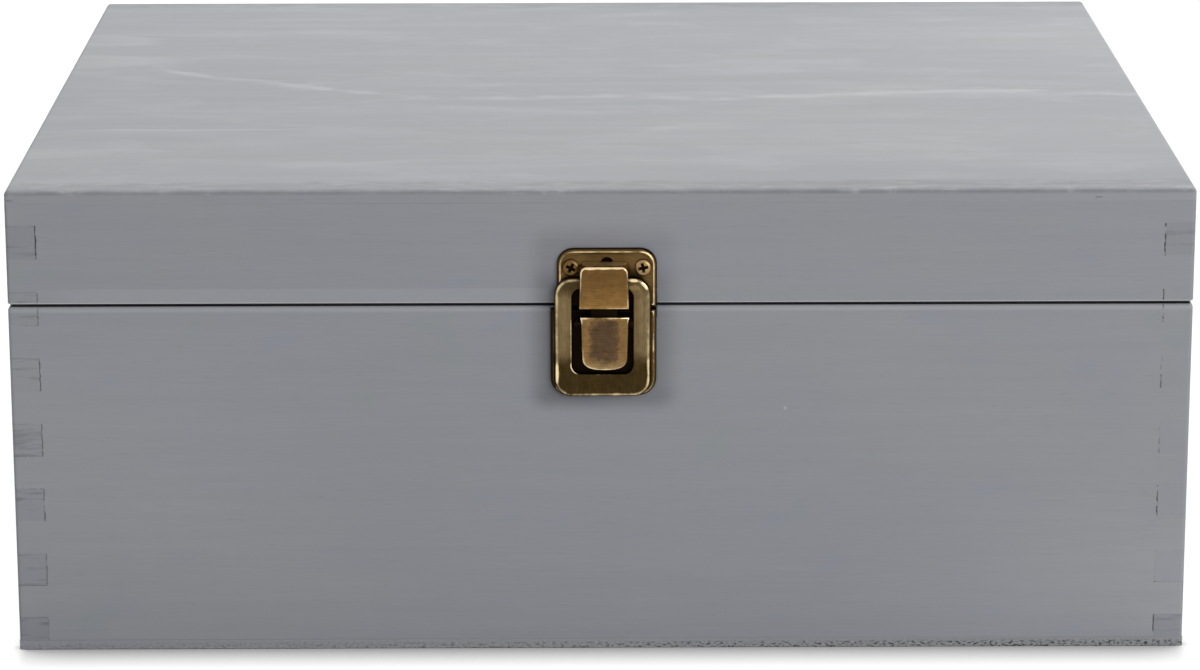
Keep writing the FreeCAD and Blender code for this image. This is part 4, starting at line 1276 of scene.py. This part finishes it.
SCREW_HEAD = stand_in("screw_head", screw_head())
SCREW_SETTER = screw_setter()
strike_seat = -half_depth - strike_out
catch_seat = -half_depth - CATCH_OUT
hinge_seat = half_depth + LEAF_THICK
driven_screws("strike_screws", "lid", STRIKE_HEAD, strike_seat, TO_FRONT, screw_brass, seed=4)
driven_screws("catch_screws", "base", CATCH_HEAD, catch_seat, TO_FRONT, shaded_screw_brass, seed=2)
for part in ("base", "lid"):
    driven_screws("hinge_%s_screws" % part, part, HINGE_HEAD, hinge_seat, TO_BACK, screw_brass, seed=7,
                  pitch=HINGE_PITCH)
bpy.data.objects.remove(SCREW_HEAD)


# Bottom panel

SAWN_EDGE = 0.1 * MM


def sawn_panel(node):
    """A panel with crisp sawn edges, the size of a node."""
    low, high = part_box(node)
    corners = [(low.x, low.y), (high.x, low.y), (high.x, high.y), (low.x, high.y)]
    shell = skin([([Vector((x, y, up)) for x, y in corners], UNTOUCHED) for up in (low.z, high.z)])
    bmesh.ops.bevel(shell, geom=shell.edges[:], offset=SAWN_EDGE, segments=1, affect="EDGES", profile=0.5)
    return one_mesh(node + "_sawn", shell)


fitted("base_bottom_panel_sawn", sawn_panel("base_bottom_panel"), "base", "stained_panel", bottom_wood,
       "base_bottom_panel")


# Hinges

LEAF_EDGE = 0.18 * MM
SAME_PLACE = 0.001 * MM
FLAT_ANGLE = math.radians(1.0)
EDGE_ANGLE = math.radians(40)


def eased_copy(node):
    """A node's own shape with its sharp edges broken."""
    shell = bmesh.new()
    shell.from_mesh(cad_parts[node].data)
    bmesh.ops.remove_doubles(shell, verts=shell.verts, dist=SAME_PLACE)
    bmesh.ops.dissolve_limit(shell, angle_limit=FLAT_ANGLE, verts=shell.verts, edges=shell.edges)
    thing = stand_in(node + "_copy", one_mesh(node + "_copy", shell))
    broken = thing.modifiers.new("broken_edges", "BEVEL")
    broken.width = LEAF_EDGE
    broken.segments = 2
    broken.limit_method = "ANGLE"
    broken.angle_limit = EDGE_ANGLE
    return finished(thing, node + "_eased")


for side in ("left", "right"):
    for part in ("base", "lid"):
        leaf = "%s_hinge_%s_leaf" % (side, part)
        fitted(leaf + "_eased", eased_copy(leaf), part, "antique_brass", hinge_brass, leaf)
    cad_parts["%s_hinge_pin" % side].data.materials[0] = hinge_brass
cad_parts["latch_pin"].data.materials[0] = pin_brass


# Steel spring, drawn as it lies when the lever presses it so that the lever never cuts it

# Millimetres out from the wood and up from the lid line
SPRING_OUTLINE = [(2.0, -12.0), (2.0, -8.3), (2.32, -3.0), (2.62, -3.0), (2.3, -8.3), (2.3, -12.0)]
SPRING_HALF = 2 * MM
ROLLED_LINES = (3000.0, 3000.0, 120.0)
STEEL = stain(176, 177, 180)


def bright_steel(name):
    """Rolled spring steel with fine lines along it."""
    finish = new_finish(name)
    lines = finish.noise(finish.places()[0], ROLLED_LINES)
    colour = finish.shaded(STEEL, 0.9 + lines * 0.2)
    return finish.surface(Base_Color=colour, Metallic=1.0, Roughness=0.24 + lines * 0.14)


spring = strip([(out * MM, lid_line + up * MM) for out, up in SPRING_OUTLINE], bill_middle - SPRING_HALF,
               bill_middle + SPRING_HALF, UNTOUCHED)
fitted("latch_spring_leaf", one_mesh("latch_spring_leaf", spring), "base", "spring_steel",
       bright_steel("spring_steel_bright"), "latch_spring")


# Floor, light and camera

FLOOR_REACH = 6.0
FLOOR_DROP = 0.03 * MM
FLOOR_SEEN = stain(96, 96, 96)
FLOOR_LIT = stain(232, 232, 232)
FRONT_SIDES = 3 * MM
FRONT_START = (4 * MM, 2 * MM)
SHADE_REACH = 3 * MM
FRONT_SHADE_REACH = 18.5 * MM
SHADE = 0.5
FRONT_SHADE = 0.97
SHADE_SAMPLES = 16
WORLD_LIGHT = 0.41
WHITE = (1.0, 1.0, 1.0, 1.0)
BOX_MIDDLE = (0.0, 0.0, 0.1)
SENSOR_WIDTH = 36.0
LENS = 132.4
CAMERA_PLACE = (-0.0079, -1.4353, 0.4387)
CAMERA_YAW = math.radians(-0.34)
CAMERA_TILT = math.radians(90 - 14.83)
CAMERA_ROLL = math.radians(-0.09)


def seen_rays(finish):
    """One for what the camera sees, straight or in metal and glass."""
    ray = finish.node("ShaderNodeLightPath").socket.node
    seen = Signal(finish, ray.outputs["Is Camera Ray"])
    for kind in ("Is Glossy Ray", "Is Transmission Ray"):
        seen = seen.most(Signal(finish, ray.outputs[kind]))
    return seen


def studio_floor():
    """A white floor that keeps the box's shadow, which falls to the front."""
    mesh = bpy.data.meshes.new("floor")
    corners = [(-FLOOR_REACH, -FLOOR_REACH), (FLOOR_REACH, -FLOOR_REACH), (FLOOR_REACH, FLOOR_REACH),
               (-FLOOR_REACH, FLOOR_REACH)]
    mesh.from_pydata([(x, y, -FLOOR_DROP) for x, y in corners], [], [(0, 1, 2, 3)])
    floor = bpy.data.objects.new("floor", mesh)
    scene.collection.objects.link(floor)
    finish = new_finish("white_floor")
    x, y = finish.places()[1][:2]
    in_front = finish.fade(abs(x), half_width + FRONT_SIDES, half_width - FRONT_SIDES)
    in_front = in_front * finish.fade(y, FRONT_START[0] - half_depth, FRONT_START[1] - half_depth)
    shade_reach = SHADE_REACH + in_front * FRONT_SHADE_REACH
    nearness = finish.node("ShaderNodeAmbientOcclusion", {"samples": SHADE_SAMPLES},
                           {"Distance": shade_reach}, output="AO")
    seen = seen_rays(finish)
    glow = (1.0 - (1.0 - nearness) * (SHADE + in_front * FRONT_SHADE)) * seen
    paper = finish.mix(seen, FLOOR_LIT, FLOOR_SEEN)
    finish.surface(Base_Color=paper, Roughness=1.0, Specular_IOR_Level=0.0, Emission_Strength=1.0,
                   Emission_Color=finish.node("ShaderNodeCombineXYZ", sockets={0: glow, 1: glow, 2: glow}))
    mesh.materials.append(finish.holder)


def studio_world():
    """White where it is seen, and softer as a light."""
    finish = Finish(bpy.data.worlds.new("studio"))
    scene.world = finish.holder
    strength = seen_rays(finish) * (1.0 - WORLD_LIGHT) + WORLD_LIGHT
    shader = finish.node("ShaderNodeBackground", sockets={"Color": WHITE, "Strength": strength})
    finish.node("ShaderNodeOutputWorld", sockets={"Surface": shader})


def soft_box(name, place, size, power):
    """A broad lamp that looks at the box."""
    lamp = bpy.data.lights.new(name, "AREA")
    lamp.shape = "RECTANGLE"
    lamp.size, lamp.size_y = size
    lamp.energy = power
    holder = bpy.data.objects.new(name, lamp)
    direction = Vector(BOX_MIDDLE) - Vector(place)
    turn = direction.to_track_quat("-Z", "Y").to_matrix().to_4x4()
    holder.matrix_world = Matrix.Translation(place) @ turn
    scene.collection.objects.link(holder)


def photo_camera():
    """The photograph's view: nearly straight on, looking down on the lid through a long lens."""
    lens = bpy.data.cameras.new("photo_camera")
    lens.sensor_fit = "HORIZONTAL"
    lens.sensor_width = SENSOR_WIDTH
    lens.lens = LENS
    holder = bpy.data.objects.new("photo_camera", lens)
    turn = Matrix.Rotation(CAMERA_YAW, 4, "Z")
    tilt = Matrix.Rotation(CAMERA_TILT, 4, "X")
    roll = Matrix.Rotation(CAMERA_ROLL, 4, "Z")
    holder.matrix_world = Matrix.Translation(CAMERA_PLACE) @ turn @ tilt @ roll
    scene.collection.objects.link(holder)
    scene.camera = holder


studio_floor()
studio_world()
soft_box("overhead_softbox", place=(0.55, 0.7, 1.8), size=(2.0, 1.6), power=22.0)
soft_box("front_softbox", place=(1.3, -1.9, 0.8), size=(1.2, 1.0), power=21.0)
photo_camera()
